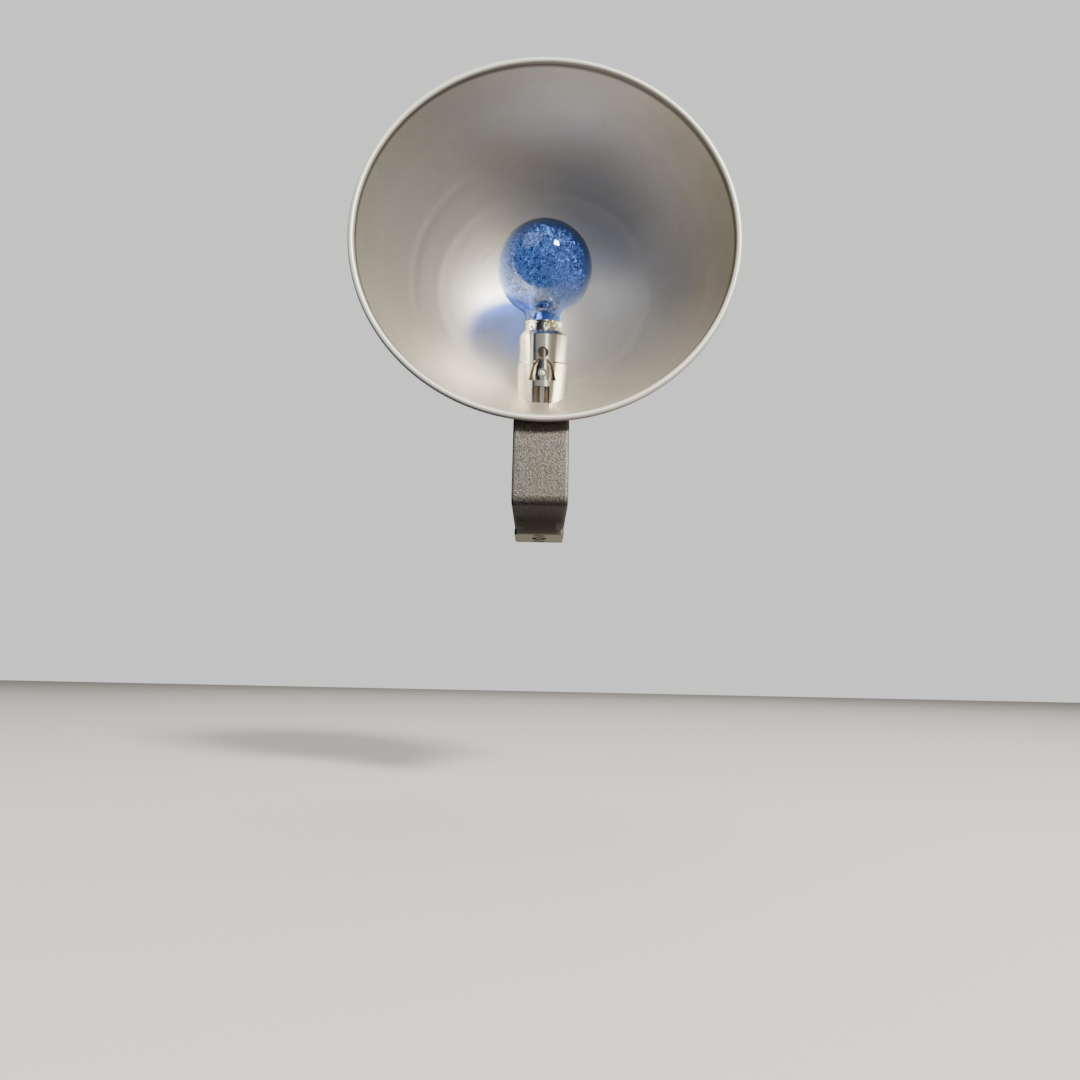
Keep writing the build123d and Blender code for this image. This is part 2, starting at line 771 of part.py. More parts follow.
return_wire = 0.175
return_radius = lower_bore_radius - return_wire - 0.025
with BuildPart() as ejector_spring:
    add(
        coil(
            socket_plane(carrier_top + return_wire + 0.02),
            return_radius,
            return_wire,
            3,
            ledge_level - carrier_top - 2 * return_wire - 0.04,
        )
    )
write(ejector_spring, "ejector_spring")

with BuildPart() as contact_plunger:
    with BuildSketch(socket_plane(plunger_top)):
        Circle(plunger_head_radius)
    extrude(amount=-plunger_head)
    with BuildSketch(socket_plane(plunger_top - plunger_head)):
        Circle(plunger_radius)
    extrude(amount=-(plunger_top - plunger_head + 57.4))
write(contact_plunger, "contact_plunger")

plunger_wire = 0.2
with BuildPart() as plunger_spring:
    plunger_spring_length = plunger_top - plunger_head - spring_floor
    add(
        coil(
            socket_plane(spring_floor + plunger_wire + 0.02),
            1.85,
            plunger_wire,
            5,
            plunger_spring_length - 2 * plunger_wire - 0.04,
        )
    )
write(plunger_spring, "plunger_spring")

# ---------------------------------------------------------------- flash bulb
neck_radius = base_radius - base_wall
neck_end_level = -34.0
base_top_level = -20.6
base_end_level = -45.2
insulator_end_level = -46.6
contact_end_level = -47.55
neck_fillet = 4.0


def globe(inset, end_level):
    """Solid globe with its neck, shrunk by the inset."""
    radius = globe_radius - inset
    tube = neck_radius - inset
    crease = (tube, -sqrt(radius**2 - tube**2))
    with BuildPart() as shape:
        with BuildSketch(socket_section) as side:
            Circle(radius)
            Rectangle(3 * radius, 3 * radius, align=(Align.MIN, Align.CENTER), mode=Mode.INTERSECT)
            Rectangle(tube, -end_level, align=(Align.MIN, Align.MAX))
            fillet(side.vertices().sort_by_distance(crease)[0], neck_fillet + inset)
        revolve(axis=socket_axis)
    return shape.part


with BuildPart() as bulb_glass:
    add(globe(0, neck_end_level))
    add(globe(glass_wall, neck_end_level + 1.0), mode=Mode.SUBTRACT)
write(bulb_glass, "bulb_glass")

foil_radius = 16.8
foil_thickness = 0.2
foil_low_level = -6.0
with BuildPart() as bulb_foil:
    with BuildSketch(socket_section):
        Circle(foil_radius)
        Circle(foil_radius - foil_thickness, mode=Mode.SUBTRACT)
        with Locations((0, foil_low_level)):
            Rectangle(80, 80, align=(Align.MIN, Align.MIN), mode=Mode.INTERSECT)
    revolve(axis=socket_axis)
write(bulb_foil, "bulb_foil")

stem_top_level = -17.0
lead_x = 2.0
lead_top_level = -3.0
with BuildPart() as bulb_stem:
    with BuildSketch(socket_section):
        with BuildLine():
            Polyline(
                (0, neck_end_level + 1.0),
                (4.2, neck_end_level + 1.0),
                (3.0, stem_top_level - 5),
                (2.8, stem_top_level),
                (0, stem_top_level),
                close=True,
            )
        make_face()
    revolve(axis=socket_axis)
write(bulb_stem, "bulb_stem")

with BuildPart() as bulb_leads:
    with BuildSketch(socket_plane(stem_top_level)):
        with Locations((-lead_x, 0), (lead_x, 0)):
            Circle(0.3)
    extrude(amount=lead_top_level - stem_top_level)
    with BuildSketch(Plane.YZ.offset(-lead_x)):
        with Locations(socket_yz(lead_top_level - 0.3, 0)):
            Circle(0.15)
    extrude(amount=2 * lead_x)
write(bulb_leads, "bulb_leads")

with BuildPart() as bulb_base:
    with BuildSketch(socket_plane(base_end_level)):
        Circle(base_radius)
        Circle(neck_radius, mode=Mode.SUBTRACT)
    extrude(amount=base_top_level - base_end_level)
    for side in (-1, 1):
        with BuildSketch(socket_section.offset(side * (base_radius - 0.2))):
            with Locations((0, pin_level)):
                Circle(pin_radius)
        extrude(amount=side * (pin_reach - base_radius + 0.2))
write(bulb_base, "bulb_base")

with BuildPart() as bulb_insulator:
    with BuildSketch(socket_section):
        with BuildLine():
            Polyline(
                (0, base_end_level + 2.6),
                (neck_radius, base_end_level + 2.6),
                (neck_radius, base_end_level),
                (3.0, insulator_end_level),
                (0, insulator_end_level),
                close=True,
            )
        make_face()
    revolve(axis=socket_axis)
write(bulb_insulator, "bulb_insulator")

with BuildPart() as bulb_contact:
    with BuildSketch(socket_plane(insulator_end_level)):
        Circle(2.1)
    extrude(amount=contact_end_level - insulator_end_level)
write(bulb_contact, "bulb_contact")

# ---------------------------------------------------------------- battery and its contacts
battery_rear_y = rear_inner_y - battery_rear_room
battery_front_y = battery_rear_y - battery_length
battery_mid_z = battery_low_z + battery_height / 2
terminal_radius = 3.5
terminal_height = 0.8

with BuildPart() as battery:
    with BuildSketch(Plane.XZ.offset(-battery_front_y)):
        with Locations((0, battery_mid_z)):
            RectangleRounded(battery_width, battery_height, battery_corner)
    extrude(amount=-battery_length)
write(battery, "battery")

with BuildPart() as battery_terminals:
    for y, step in ((battery_front_y, terminal_height), (battery_rear_y, -terminal_height)):
        with BuildSketch(Plane.XZ.offset(-y)):
            with Locations((0, battery_mid_z)):
                Circle(terminal_radius)
        extrude(amount=step)
write(battery_terminals, "battery_terminals")

tray_front_y = front_y + front_bend + 1
tray_rear_y = hinge_y - hinge_radius - 0.5
with BuildPart() as battery_tray:
    with BuildSketch(Plane.XY.offset(backing_top)):
        with Locations((0, tray_front_y)):
            Rectangle(
                2 * inner_half - 0.2, tray_rear_y - tray_front_y, align=(Align.CENTER, Align.MIN)
            )
        Circle(contact_radius + 0.4, mode=Mode.SUBTRACT)
    extrude(amount=battery_low_z - backing_top)
write(battery_tray, "battery_tray")

front_inner_y = front_y + case_wall
insulator_thickness = 0.8
with BuildPart() as front_insulator:
    with BuildSketch(Plane.XZ.offset(-front_inner_y)):
        with Locations((0, battery_mid_z)):
            Rectangle(battery_width - 0.9, 20.0)
    extrude(amount=-insulator_thickness)
write(front_insulator, "front_insulator")

leaf_thickness = 0.3
leaf_start_y = front_inner_y + insulator_thickness
leaf_end_y = battery_front_y - terminal_height
with BuildPart() as front_contact:
    with BuildSketch(Plane.YZ.offset(-3.0)):
        with BuildLine():
            leaf_back = [
                (leaf_start_y, battery_mid_z - 8),
                (leaf_start_y, battery_mid_z - 6),
                (leaf_end_y - leaf_thickness, battery_mid_z - 1.5),
                (leaf_end_y - leaf_thickness, battery_mid_z + 1.5),
                (leaf_start_y, battery_mid_z + 6),
                (leaf_start_y, battery_mid_z + 8),
            ]
            leaf_face = [(y + leaf_thickness, z) for y, z in reversed(leaf_back)]
            Polyline(*leaf_back, *leaf_face, close=True)
        make_face()
    extrude(amount=6.0)
write(front_contact, "front_contact")

# ---------------------------------------------------------------- battery door
door_inner_y = rear_inner_y
lip_depth = 2.5
with BuildPart() as battery_door:
    with BuildSketch(Plane.XZ.offset(-door_inner_y)):
        with Locations((0, door_lower_z)):
            Rectangle(case_width, door_top_z - door_lower_z, align=(Align.CENTER, Align.MIN))
    extrude(amount=-case_wall)
    outer_edges = battery_door.faces().sort_by(Axis.Y)[-1].edges()
    fillet(outer_edges.filter_by(Axis.Z), cover_edge)
    with BuildSketch(Plane.XZ.offset(-door_inner_y)):
        with Locations((0, hinge_z)):
            Rectangle(2 * inner_half - 0.3, door_lower_z - hinge_z, align=(Align.CENTER, Align.MIN))
    extrude(amount=-case_wall)
    with BuildSketch(Plane.YZ.offset(0.15 - inner_half)):
        with Locations((hinge_y, hinge_z)):
            Circle(hinge_radius)
    extrude(amount=2 * inner_half - 0.3)
    with BuildSketch(Plane.XZ.offset(-door_inner_y)):
        with Locations((0, door_top_z - 0.2)):
            Rectangle(2 * inner_half - 0.9, case_wall, align=(Align.CENTER, Align.MAX))
    extrude(amount=lip_depth)
    with BuildSketch(Plane.YZ.offset(-half_width)):
        with Locations((hinge_y, hinge_z)):
            Circle(hinge_pin_radius + hinge_clearance)
    extrude(amount=case_width, mode=Mode.SUBTRACT)
write(battery_door, "battery_door")

with BuildPart() as door_insulator:
    with BuildSketch(Plane.XZ.offset(-door_inner_y)):
        with Locations((0, battery_mid_z)):
            Circle(5.0)
    extrude(amount=1.0)
write(door_insulator, "door_insulator")

door_wire = 0.35
with BuildPart() as door_spring:
    spring_reach = door_inner_y - 1.0 - battery_rear_y - terminal_height
    door_spring_plane = Plane(
        origin=(0, door_inner_y - 1.0 - door_wire, battery_mid_z), x_dir=(1, 0, 0), z_dir=(0, -1, 0)
    )
    add(coil(door_spring_plane, 2.6, door_wire, 4, spring_reach - 2 * door_wire - 0.1))
write(door_spring, "door_spring")

catch_half = 3.0
catch_gap = 0.3
catch_thickness = 0.4
catch_top_z = door_top_z + 6.4
with BuildPart() as door_catch:
    with BuildSketch(Plane.YZ.offset(-catch_half)):
        nose_y = rear_inner_y - lip_depth - catch_gap
        with BuildLine():
            Polyline(
                (rear_inner_y, catch_top_z),
                (rear_inner_y, door_top_z + 0.9),
                (nose_y, door_top_z + 0.9),
                (nose_y, door_top_z - 1.0),
                (nose_y - catch_thickness, door_top_z - 1.0),
                (nose_y - catch_thickness, door_top_z + 0.9 + catch_thickness),
                (rear_inner_y - catch_thickness, door_top_z + 0.9 + catch_thickness),
                (rear_inner_y - catch_thickness, catch_top_z),
                close=True,
            )
        make_face()
    extrude(amount=2 * catch_half)
write(door_catch, "door_catch")

# ---------------------------------------------------------------- condenser, resistor and wires
condenser_radius = 5.2
condenser_x = -2.2
clip_thickness = 0.4
condenser_z = battery_top_z + 0.3 + clip_thickness + condenser_radius
condenser_front_y = rear_y - 37.8
condenser_length = 26.0
with BuildPart() as condenser:
    with BuildSketch(Plane.XZ.offset(-condenser_front_y)):
        with Locations((condenser_x, condenser_z)):
            Circle(condenser_radius)
    extrude(amount=-condenser_length)
    fillet(condenser.faces().sort_by(Axis.Y)[0].edges(), 0.8)
write(condenser, "condenser")

clip_outer = condenser_radius + clip_thickness
clip_y = condenser_front_y + 18.0
clip_width = 4.0
with BuildPart() as condenser_clip:
    with BuildSketch(Plane.XZ.offset(-clip_y)):
        with Locations((-inner_half, condenser_z)):
            Rectangle(3.0, clip_width, align=(Align.MIN, Align.CENTER))
        with Locations((condenser_x, condenser_z)):
            Circle(clip_outer)
            Circle(condenser_radius, mode=Mode.SUBTRACT)
    extrude(amount=-clip_width)
write(condenser_clip, "condenser_clip")

strip_thickness = 0.8
strip_y = rear_y - 9.6
strip_z = top_z - 13.4
strip_length = 8.0
strip_height = 12.0
with BuildPart() as tag_strip:
    with BuildSketch(Plane.YZ.offset(-inner_half)):
        with Locations((strip_y, strip_z)):
            Rectangle(strip_length, strip_height)
    extrude(amount=strip_thickness)
write(tag_strip, "tag_strip")

resistor_radius = 1.2
resistor_x = -inner_half + strip_thickness + resistor_radius
resistor_y = rear_y - 11.4
resistor_low_z = top_z - 16.0
with BuildPart() as resistor:
    with BuildSketch(Plane.XY.offset(resistor_low_z)):
        with Locations((resistor_x, resistor_y)):
            Circle(resistor_radius)
    extrude(amount=7.0)
    fillet(resistor.edges().filter_by(GeomType.CIRCLE), 0.4)
write(resistor, "resistor")


def wire(points, radius, bend):
    """Insulated wire along straight runs joined by tangent arcs."""
    with BuildPart() as run:
        with BuildLine() as path:
            FilletPolyline(*points, radius=bend)
        with BuildSketch(Plane(origin=path.line @ 0, z_dir=path.line % 0)):
            Circle(radius)
        sweep(path=path.line)
    return run.part


wire_radius = 0.3
wire_start_y = leaf_end_y + 0.1
wire_run_z = battery_top_z + 0.35
wire_y = condenser_front_y + condenser_length
with BuildPart() as wiring:
    add(
        wire(
            [
                (5.0, wire_start_y, battery_mid_z + 8),
                (5.0, wire_start_y, wire_run_z),
                (5.0, condenser_front_y - 3, wire_run_z),
                (condenser_x, condenser_front_y - 3, condenser_z),
                (condenser_x, condenser_front_y, condenser_z),
            ],
            wire_radius,
            0.9,
        )
    )
    add(
        wire(
            [
                (condenser_x, wire_y, condenser_z),
                (condenser_x, wire_y + 2.2, condenser_z),
                (resistor_x, wire_y + 2.2, condenser_z + 3),
                (resistor_x, resistor_y, resistor_low_z - 3.0),
                (resistor_x, resistor_y, resistor_low_z),
            ],
            wire_radius,
            0.9,
        )
    )
write(wiring, "wiring")

# ---------------------------------------------------------------- test button and lamp
housing_radius = 4.2
housing_floor_y = rear_y - 4.8
stem_radius = 1.0
button_reach = 2.2
button_travel = 1.2
with BuildPart() as button_housing:
    with BuildSketch(Plane.XZ.offset(-housing_floor_y)):
        with Locations((button_x, button_z)):
            Circle(housing_radius)
    extrude(amount=-(rear_inner_y - housing_floor_y))
    with BuildSketch(Plane.XZ.offset(-housing_floor_y - 0.6)):
        with Locations((button_x, button_z)):
            Circle(housing_radius - 0.4)
    extrude(amount=-(rear_inner_y - housing_floor_y), mode=Mode.SUBTRACT)
    with BuildSketch(Plane.XZ.offset(-housing_floor_y)):
        with Locations((button_x, button_z)):
            Circle(stem_radius + hinge_clearance)
    extrude(amount=-1.0, mode=Mode.SUBTRACT)
write(button_housing, "button_housing")

flange_rear_y = rear_inner_y - 0.05
flange_thickness = 0.9
with BuildPart() as test_button:
    with BuildSketch(Plane.XZ.offset(-flange_rear_y)):
        with Locations((button_x, button_z)):
            Circle(button_radius)
    extrude(amount=-(rear_y + button_reach - flange_rear_y))
    fillet(test_button.faces().sort_by(Axis.Y)[-1].edges(), 0.8)
    with BuildSketch(Plane.XZ.offset(-flange_rear_y)):
        with Locations((button_x, button_z)):
            Circle(button_radius + 0.5)
    extrude(amount=flange_thickness)
    with BuildSketch(Plane.XZ.offset(-flange_rear_y)):
        with Locations((button_x, button_z)):
            Circle(stem_radius)
    extrude(amount=flange_rear_y - housing_floor_y + 0.4)
write(test_button, "test_button")

button_wire = 0.15
with BuildPart() as button_spring:
    button_spring_plane = Plane(
        origin=(button_x, flange_rear_y - flange_thickness - button_wire - 0.02, button_z),
        x_dir=(1, 0, 0),
        z_dir=(0, -1, 0),
    )
    room = flange_rear_y - flange_thickness - housing_floor_y - 0.6
    add(coil(button_spring_plane, 1.8, button_wire, 3, room - 2 * button_wire - 0.04))
write(button_spring, "button_spring")

contact_y = housing_floor_y - 0.4 - button_travel - 0.35
with BuildPart() as test_contact:
    with BuildSketch(Plane.XZ.offset(-contact_y)):
        with Locations((-inner_half + strip_thickness, button_z - 1.4)):
            Rectangle(6.0, 2.8, align=(Align.MIN, Align.CENTER))
    extrude(amount=0.3)
write(test_contact, "test_contact")

with BuildPart() as lamp_lens:
    with BuildSketch(Plane.XZ.offset(-rear_inner_y + 0.4)):
        with Locations((button_x, lamp_z)):
            Circle(lens_radius)
    extrude(amount=-(case_wall + 1.8))
    fillet(lamp_lens.faces().sort_by(Axis.Y)[-1].edges(), 1.2)
write(lamp_lens, "lamp_lens")

with BuildPart() as lamp_bezel:
    with BuildSketch(Plane.XZ.offset(-rear_y)):
        with Locations((button_x, lamp_z)):
            Circle(lens_radius + 0.9)
            Circle(lens_radius, mode=Mode.SUBTRACT)
    extrude(amount=-0.6)
    fillet(lamp_bezel.faces().sort_by(Axis.Y)[-1].edges(), 0.25)
write(lamp_bezel, "lamp_bezel")

with BuildPart() as test_lamp:
    with BuildSketch(Plane.XZ.offset(-rear_inner_y + 0.4)):
        with Locations((button_x, lamp_z)):
            Circle(1.6)
    extrude(amount=6.0)
    fillet(test_lamp.faces().sort_by(Axis.Y)[0].edges(), 1.0)
write(test_lamp, "test_lamp")
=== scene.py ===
"""Flash bulb gun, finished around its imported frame. Metres, +Z up, the reflector faces -Y."""
import random
from math import atan2, cos, exp, pi, radians, sin, sqrt, tan

import bmesh
import bpy
from mathutils import Euler, Matrix, Vector


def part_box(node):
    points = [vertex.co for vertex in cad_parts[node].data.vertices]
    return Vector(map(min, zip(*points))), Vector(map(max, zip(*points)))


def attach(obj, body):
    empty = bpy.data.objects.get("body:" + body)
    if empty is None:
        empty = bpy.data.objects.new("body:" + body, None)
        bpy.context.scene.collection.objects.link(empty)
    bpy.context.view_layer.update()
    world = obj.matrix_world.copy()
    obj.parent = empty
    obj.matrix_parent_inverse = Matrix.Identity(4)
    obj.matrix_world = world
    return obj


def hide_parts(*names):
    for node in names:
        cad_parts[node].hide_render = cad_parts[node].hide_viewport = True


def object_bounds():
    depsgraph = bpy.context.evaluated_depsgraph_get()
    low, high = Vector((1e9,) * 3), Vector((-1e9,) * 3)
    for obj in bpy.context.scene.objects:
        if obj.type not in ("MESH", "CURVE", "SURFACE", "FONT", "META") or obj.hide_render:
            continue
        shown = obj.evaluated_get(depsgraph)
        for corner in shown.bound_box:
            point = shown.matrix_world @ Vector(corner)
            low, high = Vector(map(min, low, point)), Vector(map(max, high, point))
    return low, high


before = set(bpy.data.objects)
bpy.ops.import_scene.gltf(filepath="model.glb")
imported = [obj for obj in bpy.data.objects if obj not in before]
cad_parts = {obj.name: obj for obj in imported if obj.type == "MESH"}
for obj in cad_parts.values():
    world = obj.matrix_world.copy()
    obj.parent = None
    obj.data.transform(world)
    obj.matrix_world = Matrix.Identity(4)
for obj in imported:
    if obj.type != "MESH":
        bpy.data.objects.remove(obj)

cad_low, cad_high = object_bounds()
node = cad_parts

# ---------------------------------------------------------------- camera
# A short lens held just below the shoe foot and tipped up a little into the bowl,
# turned by about a degree so that the gun leans to the right in the frame.
camera_place = Vector((0.0004, -0.3033, -0.0534))
camera_tip = radians(9.89)
camera_roll = radians(1.2)

camera_data = bpy.data.cameras.new("camera")
camera_data.sensor_width = 36.0
camera_data.lens = 26.667
camera_data.clip_start = 0.01
camera = bpy.data.objects.new("camera", camera_data)
bpy.context.scene.collection.objects.link(camera)
camera.matrix_world = (
    Matrix.Translation(camera_place)
    @ Matrix.Rotation(pi / 2 + camera_tip, 4, "X")
    @ Matrix.Rotation(camera_roll, 4, "Z")
)
bpy.context.scene.camera = camera

# ---------------------------------------------------------------- floor
# A pale painted studio floor, well under the gun, because the gun hangs by its shoe foot.
floor_level = -0.095
floor_reach = 2.6


def link(name, mesh):
    """A new object at the origin that shows a mesh."""
    piece = bpy.data.objects.new(name, mesh)
    bpy.context.scene.collection.objects.link(piece)
    return piece


def from_bmesh(name, bm):
    """Finish a bmesh: merge doubles, turn the faces outwards and shade it."""
    bmesh.ops.remove_doubles(bm, verts=bm.verts, dist=1e-7)
    bmesh.ops.recalc_face_normals(bm, faces=bm.faces)
    mesh = bpy.data.meshes.new(name)
    bm.to_mesh(mesh)
    bm.free()
    for face in mesh.polygons:
        face.use_smooth = True
    return link(name, mesh)


class Finish:
    """A material whose nodes hang on one Principled shader."""

    def __init__(self, name, colour, roughness, metallic=0.0):
        self.material = bpy.data.materials.new(name)
        self.material.use_nodes = True
        self.tree = self.material.node_tree
        self.shader = self.tree.nodes["Principled BSDF"]
        self.set("Base Color", (*colour, 1.0))
        self.set("Roughness", roughness)
        self.set("Metallic", metallic)
        self.where = self.add("ShaderNodeTexCoord").outputs["Object"]

    def set(self, socket, value):
        self.shader.inputs[socket].default_value = value

    def add(self, kind, **inputs):
        """A node, with numbers or other nodes' outputs put on its inputs by name."""
        made = self.tree.nodes.new(kind)
        self.feed(made, **inputs)
        return made

    def feed(self, made, **inputs):
        for name, value in inputs.items():
            socket = made.inputs[int(name[1:])] if name[0] == "_" else made.inputs[name]
            if isinstance(value, bpy.types.NodeSocket):
                self.tree.links.new(value, socket)
            else:
                socket.default_value = value

    def maths(self, operation, a, b=0.0):
        made = self.tree.nodes.new("ShaderNodeMath")
        made.operation = operation
        self.feed(made, _0=a, _1=b)
        return made.outputs[0]

    def noise(self, scale, detail=3.0, roughness=0.55, vector=None):
        return self.add(
            "ShaderNodeTexNoise", Vector=vector or self.where, Scale=scale, Detail=detail, Roughness=roughness
        ).outputs["Fac"]

    def lines(self, place, scale, detail):
        """Noise along one measure only, for rings and drawn lines."""
        made = self.tree.nodes.new("ShaderNodeTexNoise")
        made.noise_dimensions = "1D"
        self.feed(made, W=place, Scale=scale, Detail=detail)
        return made.outputs["Fac"]

    def ramp(self, factor, *stops):
        """A colour ramp; each stop is a place and a colour or a grey."""
        made = self.add("ShaderNodeValToRGB", Fac=factor)
        elements = made.color_ramp.elements
        for index, (place, colour) in enumerate(stops):
            element = elements[index] if index < 2 else elements.new(place)
            element.position = place
            element.color = (*colour, 1.0) if isinstance(colour, tuple) else (colour, colour, colour, 1.0)
        return made.outputs["Color"]

    def mix(self, factor, a, b):
        made = self.tree.nodes.new("ShaderNodeMix")
        made.data_type = "RGBA"
        self.feed(made, _0=factor, _6=a, _7=b)
        return made.outputs[2]

    def spread(self, factor, low, high):
        return self.add("ShaderNodeMapRange", Value=factor, _3=low, _4=high).outputs["Result"]

    def group(self, tree, output, **inputs):
        made = self.tree.nodes.new("ShaderNodeGroup")
        made.node_tree = tree
        self.feed(made, Vector=self.where, **inputs)
        return made.outputs[output]

    def to(self, socket, value):
        self.tree.links.new(value, self.shader.inputs[socket])

    def bump(self, height, depth, strength=1.0):
        made = self.add("ShaderNodeBump", Height=height, Distance=depth, Strength=strength)
        self.to("Normal", made.outputs["Normal"])


def paint(piece, finish):
    """Give a piece or a CAD node its one material."""
    piece.data.materials.clear()
    piece.data.materials.append(finish.material)
    return piece


floor_paint = Finish("floor_paint", (0.84, 0.83, 0.81), 0.7)
bm = bmesh.new()
bmesh.ops.create_grid(bm, x_segments=8, y_segments=8, size=floor_reach)
bmesh.ops.translate(bm, verts=bm.verts, vec=(0, 0, floor_level))
floor = paint(from_bmesh("floor", bm), floor_paint)
floor.visible_glossy = False
floor.visible_diffuse = False
floor.visible_transmission = False

# ---------------------------------------------------------------- light
# A fairly hard key from the upper right, a broad soft fill from the left, a panel overhead
# and one tall strip that puts a long highlight down the nickel of the socket.
aim = (cad_low + cad_high) / 2


def panel(name, azimuth, elevation, distance, width, height, watts, colour=(1.0, 1.0, 1.0)):
    """A soft panel aimed at the gun; azimuth 0 is straight in front, positive to the right."""
    data = bpy.data.lights.new(name, "AREA")
    data.shape = "RECTANGLE"
    data.size = width
    data.size_y = height
    data.energy = watts
    data.color = colour
    lamp = bpy.data.objects.new(name, data)
    bpy.context.scene.collection.objects.link(lamp)
    turn, lift = radians(azimuth), radians(elevation)
    away = Vector((sin(turn) * cos(lift), -cos(turn) * cos(lift), sin(lift)))
    lamp.location = aim + away * distance
    lamp.rotation_euler = away.to_track_quat("Z", "Y").to_euler()
    return lamp


panel("key", 28, 34, 1.5, 0.27, 0.27, 41, (1.0, 0.96, 0.89))
panel("fill", -35, 42, 1.8, 1.2, 1.2, 6, (1.0, 0.98, 0.95))
panel("overhead", 165, 62, 1.7, 1.5, 1.5, 16)
# cards a little below the lens: the first lights only the shell and latch, the others the cap too
low_cards = [
    panel("front_card", 0, -6, 0.9, 1.2, 0.6, 0.75, (0.95, 0.96, 0.90)),
    panel("stripe_card", 17, -6, 0.85, 0.13, 0.6, 0.65, (1.0, 0.99, 0.95)),
    panel("side_card", -52, -8, 0.85, 0.12, 0.6, 0.45, (1.0, 0.98, 0.92)),
]
bright_parts = bpy.data.collections.new("bright_parts")
shell_parts = bpy.data.collections.new("shell_parts")
for card in low_cards:
    card.light_linking.receiver_collection = bright_parts
low_cards[0].light_linking.receiver_collection = shell_parts

# The room is warm on the right and runs down to a dark blue on the left.
room_bright = Vector((0.93, 0.12, 0.20)).normalized()
world = bpy.data.worlds.new("studio")
bpy.context.scene.world = world
world.use_nodes = True
sky = world.node_tree
direction = sky.nodes.new("ShaderNodeTexCoord")
towards = sky.nodes.new("ShaderNodeVectorMath")
towards.operation = "DOT_PRODUCT"
towards.inputs[1].default_value = room_bright
spreading = sky.nodes.new("ShaderNodeMapRange")
spreading.inputs["From Min"].default_value = -1.0
room = sky.nodes.new("ShaderNodeValToRGB")
room.color_ramp.elements[0].position = 0.26
room.color_ramp.elements[0].color = (0.006, 0.014, 0.040, 1.0)
room.color_ramp.elements[1].position = 0.62
room.color_ramp.elements[1].color = (0.33, 0.29, 0.235, 1.0)
seen = sky.nodes.new("ShaderNodeLightPath")
choose = sky.nodes.new("ShaderNodeMix")
choose.data_type = "RGBA"
choose.inputs[7].default_value = (0.95, 0.94, 0.925, 1.0)
sky.links.new(direction.outputs["Generated"], towards.inputs[0])
sky.links.new(towards.outputs["Value"], spreading.inputs["Value"])
sky.links.new(spreading.outputs["Result"], room.inputs["Fac"])
sky.links.new(seen.outputs["Is Camera Ray"], choose.inputs[0])
sky.links.new(room.outputs["Color"], choose.inputs[6])
sky.links.new(choose.outputs[2], sky.nodes["Background"].inputs["Color"])


# ---------------------------------------------------------------- reflector
# A bowl spun from one aluminium disc, its mouth rolled over into a bead, its inside left
# satin from the spinning tool. The back has a flat seat for the screw that holds it.
mm = 0.001
bowl_low, bowl_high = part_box("reflector_bowl")
rim_y = bowl_low.y
rim_radius = bowl_high.x
axis_z = (bowl_low.z + bowl_high.z) / 2
bead = 1.2 * mm
wall = 0.9 * mm
flare = radians(20)
hub_radius = 8.0 * mm
bowl_depth = 58.0 * mm
mouth_radius = rim_radius - 2 * bead
seam_inset = 0.1 * mm
seam_width = 0.55 * mm
# the straight band leaves the rounded back where their slopes agree
back_radius = (
    mouth_radius + (bead - bowl_depth) * tan(flare)
) / (cos(flare) - (1 - sin(flare)) * tan(flare))
bowl_centre = Vector((0, rim_y + bowl_depth - back_radius, axis_z))
reflector_axis = Vector((0, 1, 0))


def arc(centre, radius, start, end, steps):
    """Points (along, out) on a circle, from one angle to another in radians."""
    angles = [start + (end - start) * step / steps for step in range(steps + 1)]
    return [(centre[0] + radius * cos(angle), centre[1] + radius * sin(angle)) for angle in angles]


def spun(name, outline, origin, axis, side, steps=160, sharp=38, closed=True):
    """Spin an outline of (along the axis, out from it) points into a turned piece."""
    bm = bmesh.new()
    corners = [bm.verts.new(origin + axis * along + side * out) for along, out in outline]
    pairs = list(zip(corners, corners[1:]))
    if closed:
        pairs.append((corners[-1], corners[0]))
    for a, b in pairs:
        bm.edges.new((a, b))
    bmesh.ops.spin(
        bm, geom=bm.verts[:] + bm.edges[:], cent=origin, axis=axis, dvec=(0, 0, 0),
        angle=2 * pi, steps=steps, use_merge=True, use_normal_flip=False, use_duplicate=False,
    )
    piece = from_bmesh(name, bm)
    piece.data.set_sharp_from_angle(angle=radians(sharp))
    return piece


def cut(piece, cutter):
    """Take one shape out of another for good."""
    knife = piece.modifiers.new("knife", "BOOLEAN")
    knife.operation = "DIFFERENCE"
    knife.solver = "EXACT"
    knife.object = cutter
    seen_by = bpy.context.evaluated_depsgraph_get()
    mesh = bpy.data.meshes.new_from_object(piece.evaluated_get(seen_by))
    piece.modifiers.clear()
    piece.data = mesh
    bpy.data.objects.remove(cutter)
    return piece


def rod(name, start, end, radius, segments=48):
    """A plain round bar between two points, used as a cutter or as a pin."""
    run = end - start
    place = Matrix.Translation((start + end) / 2) @ run.to_track_quat("Z", "Y").to_matrix().to_4x4()
    bm = bmesh.new()
    bmesh.ops.create_cone(
        bm, cap_ends=True, segments=segments, radius1=radius, radius2=radius, depth=run.length, matrix=place
    )
    return from_bmesh(name, bm)


def group(name, inputs, outputs):
    """An empty node group with a Vector input, named numbers and named outputs."""
    tree = bpy.data.node_groups.new(name, "ShaderNodeTree")
    tree.interface.new_socket("Vector", in_out="INPUT", socket_type="NodeSocketVector")
    for title, value in inputs.items():
        socket = tree.interface.new_socket(title, in_out="INPUT", socket_type="NodeSocketFloat")
        socket.default_value = value
    for title in outputs:
        tree.interface.new_socket(title, in_out="OUTPUT", socket_type="NodeSocketFloat")
    return tree, tree.nodes.new("NodeGroupInput").outputs, tree.nodes.new("NodeGroupOutput").inputs


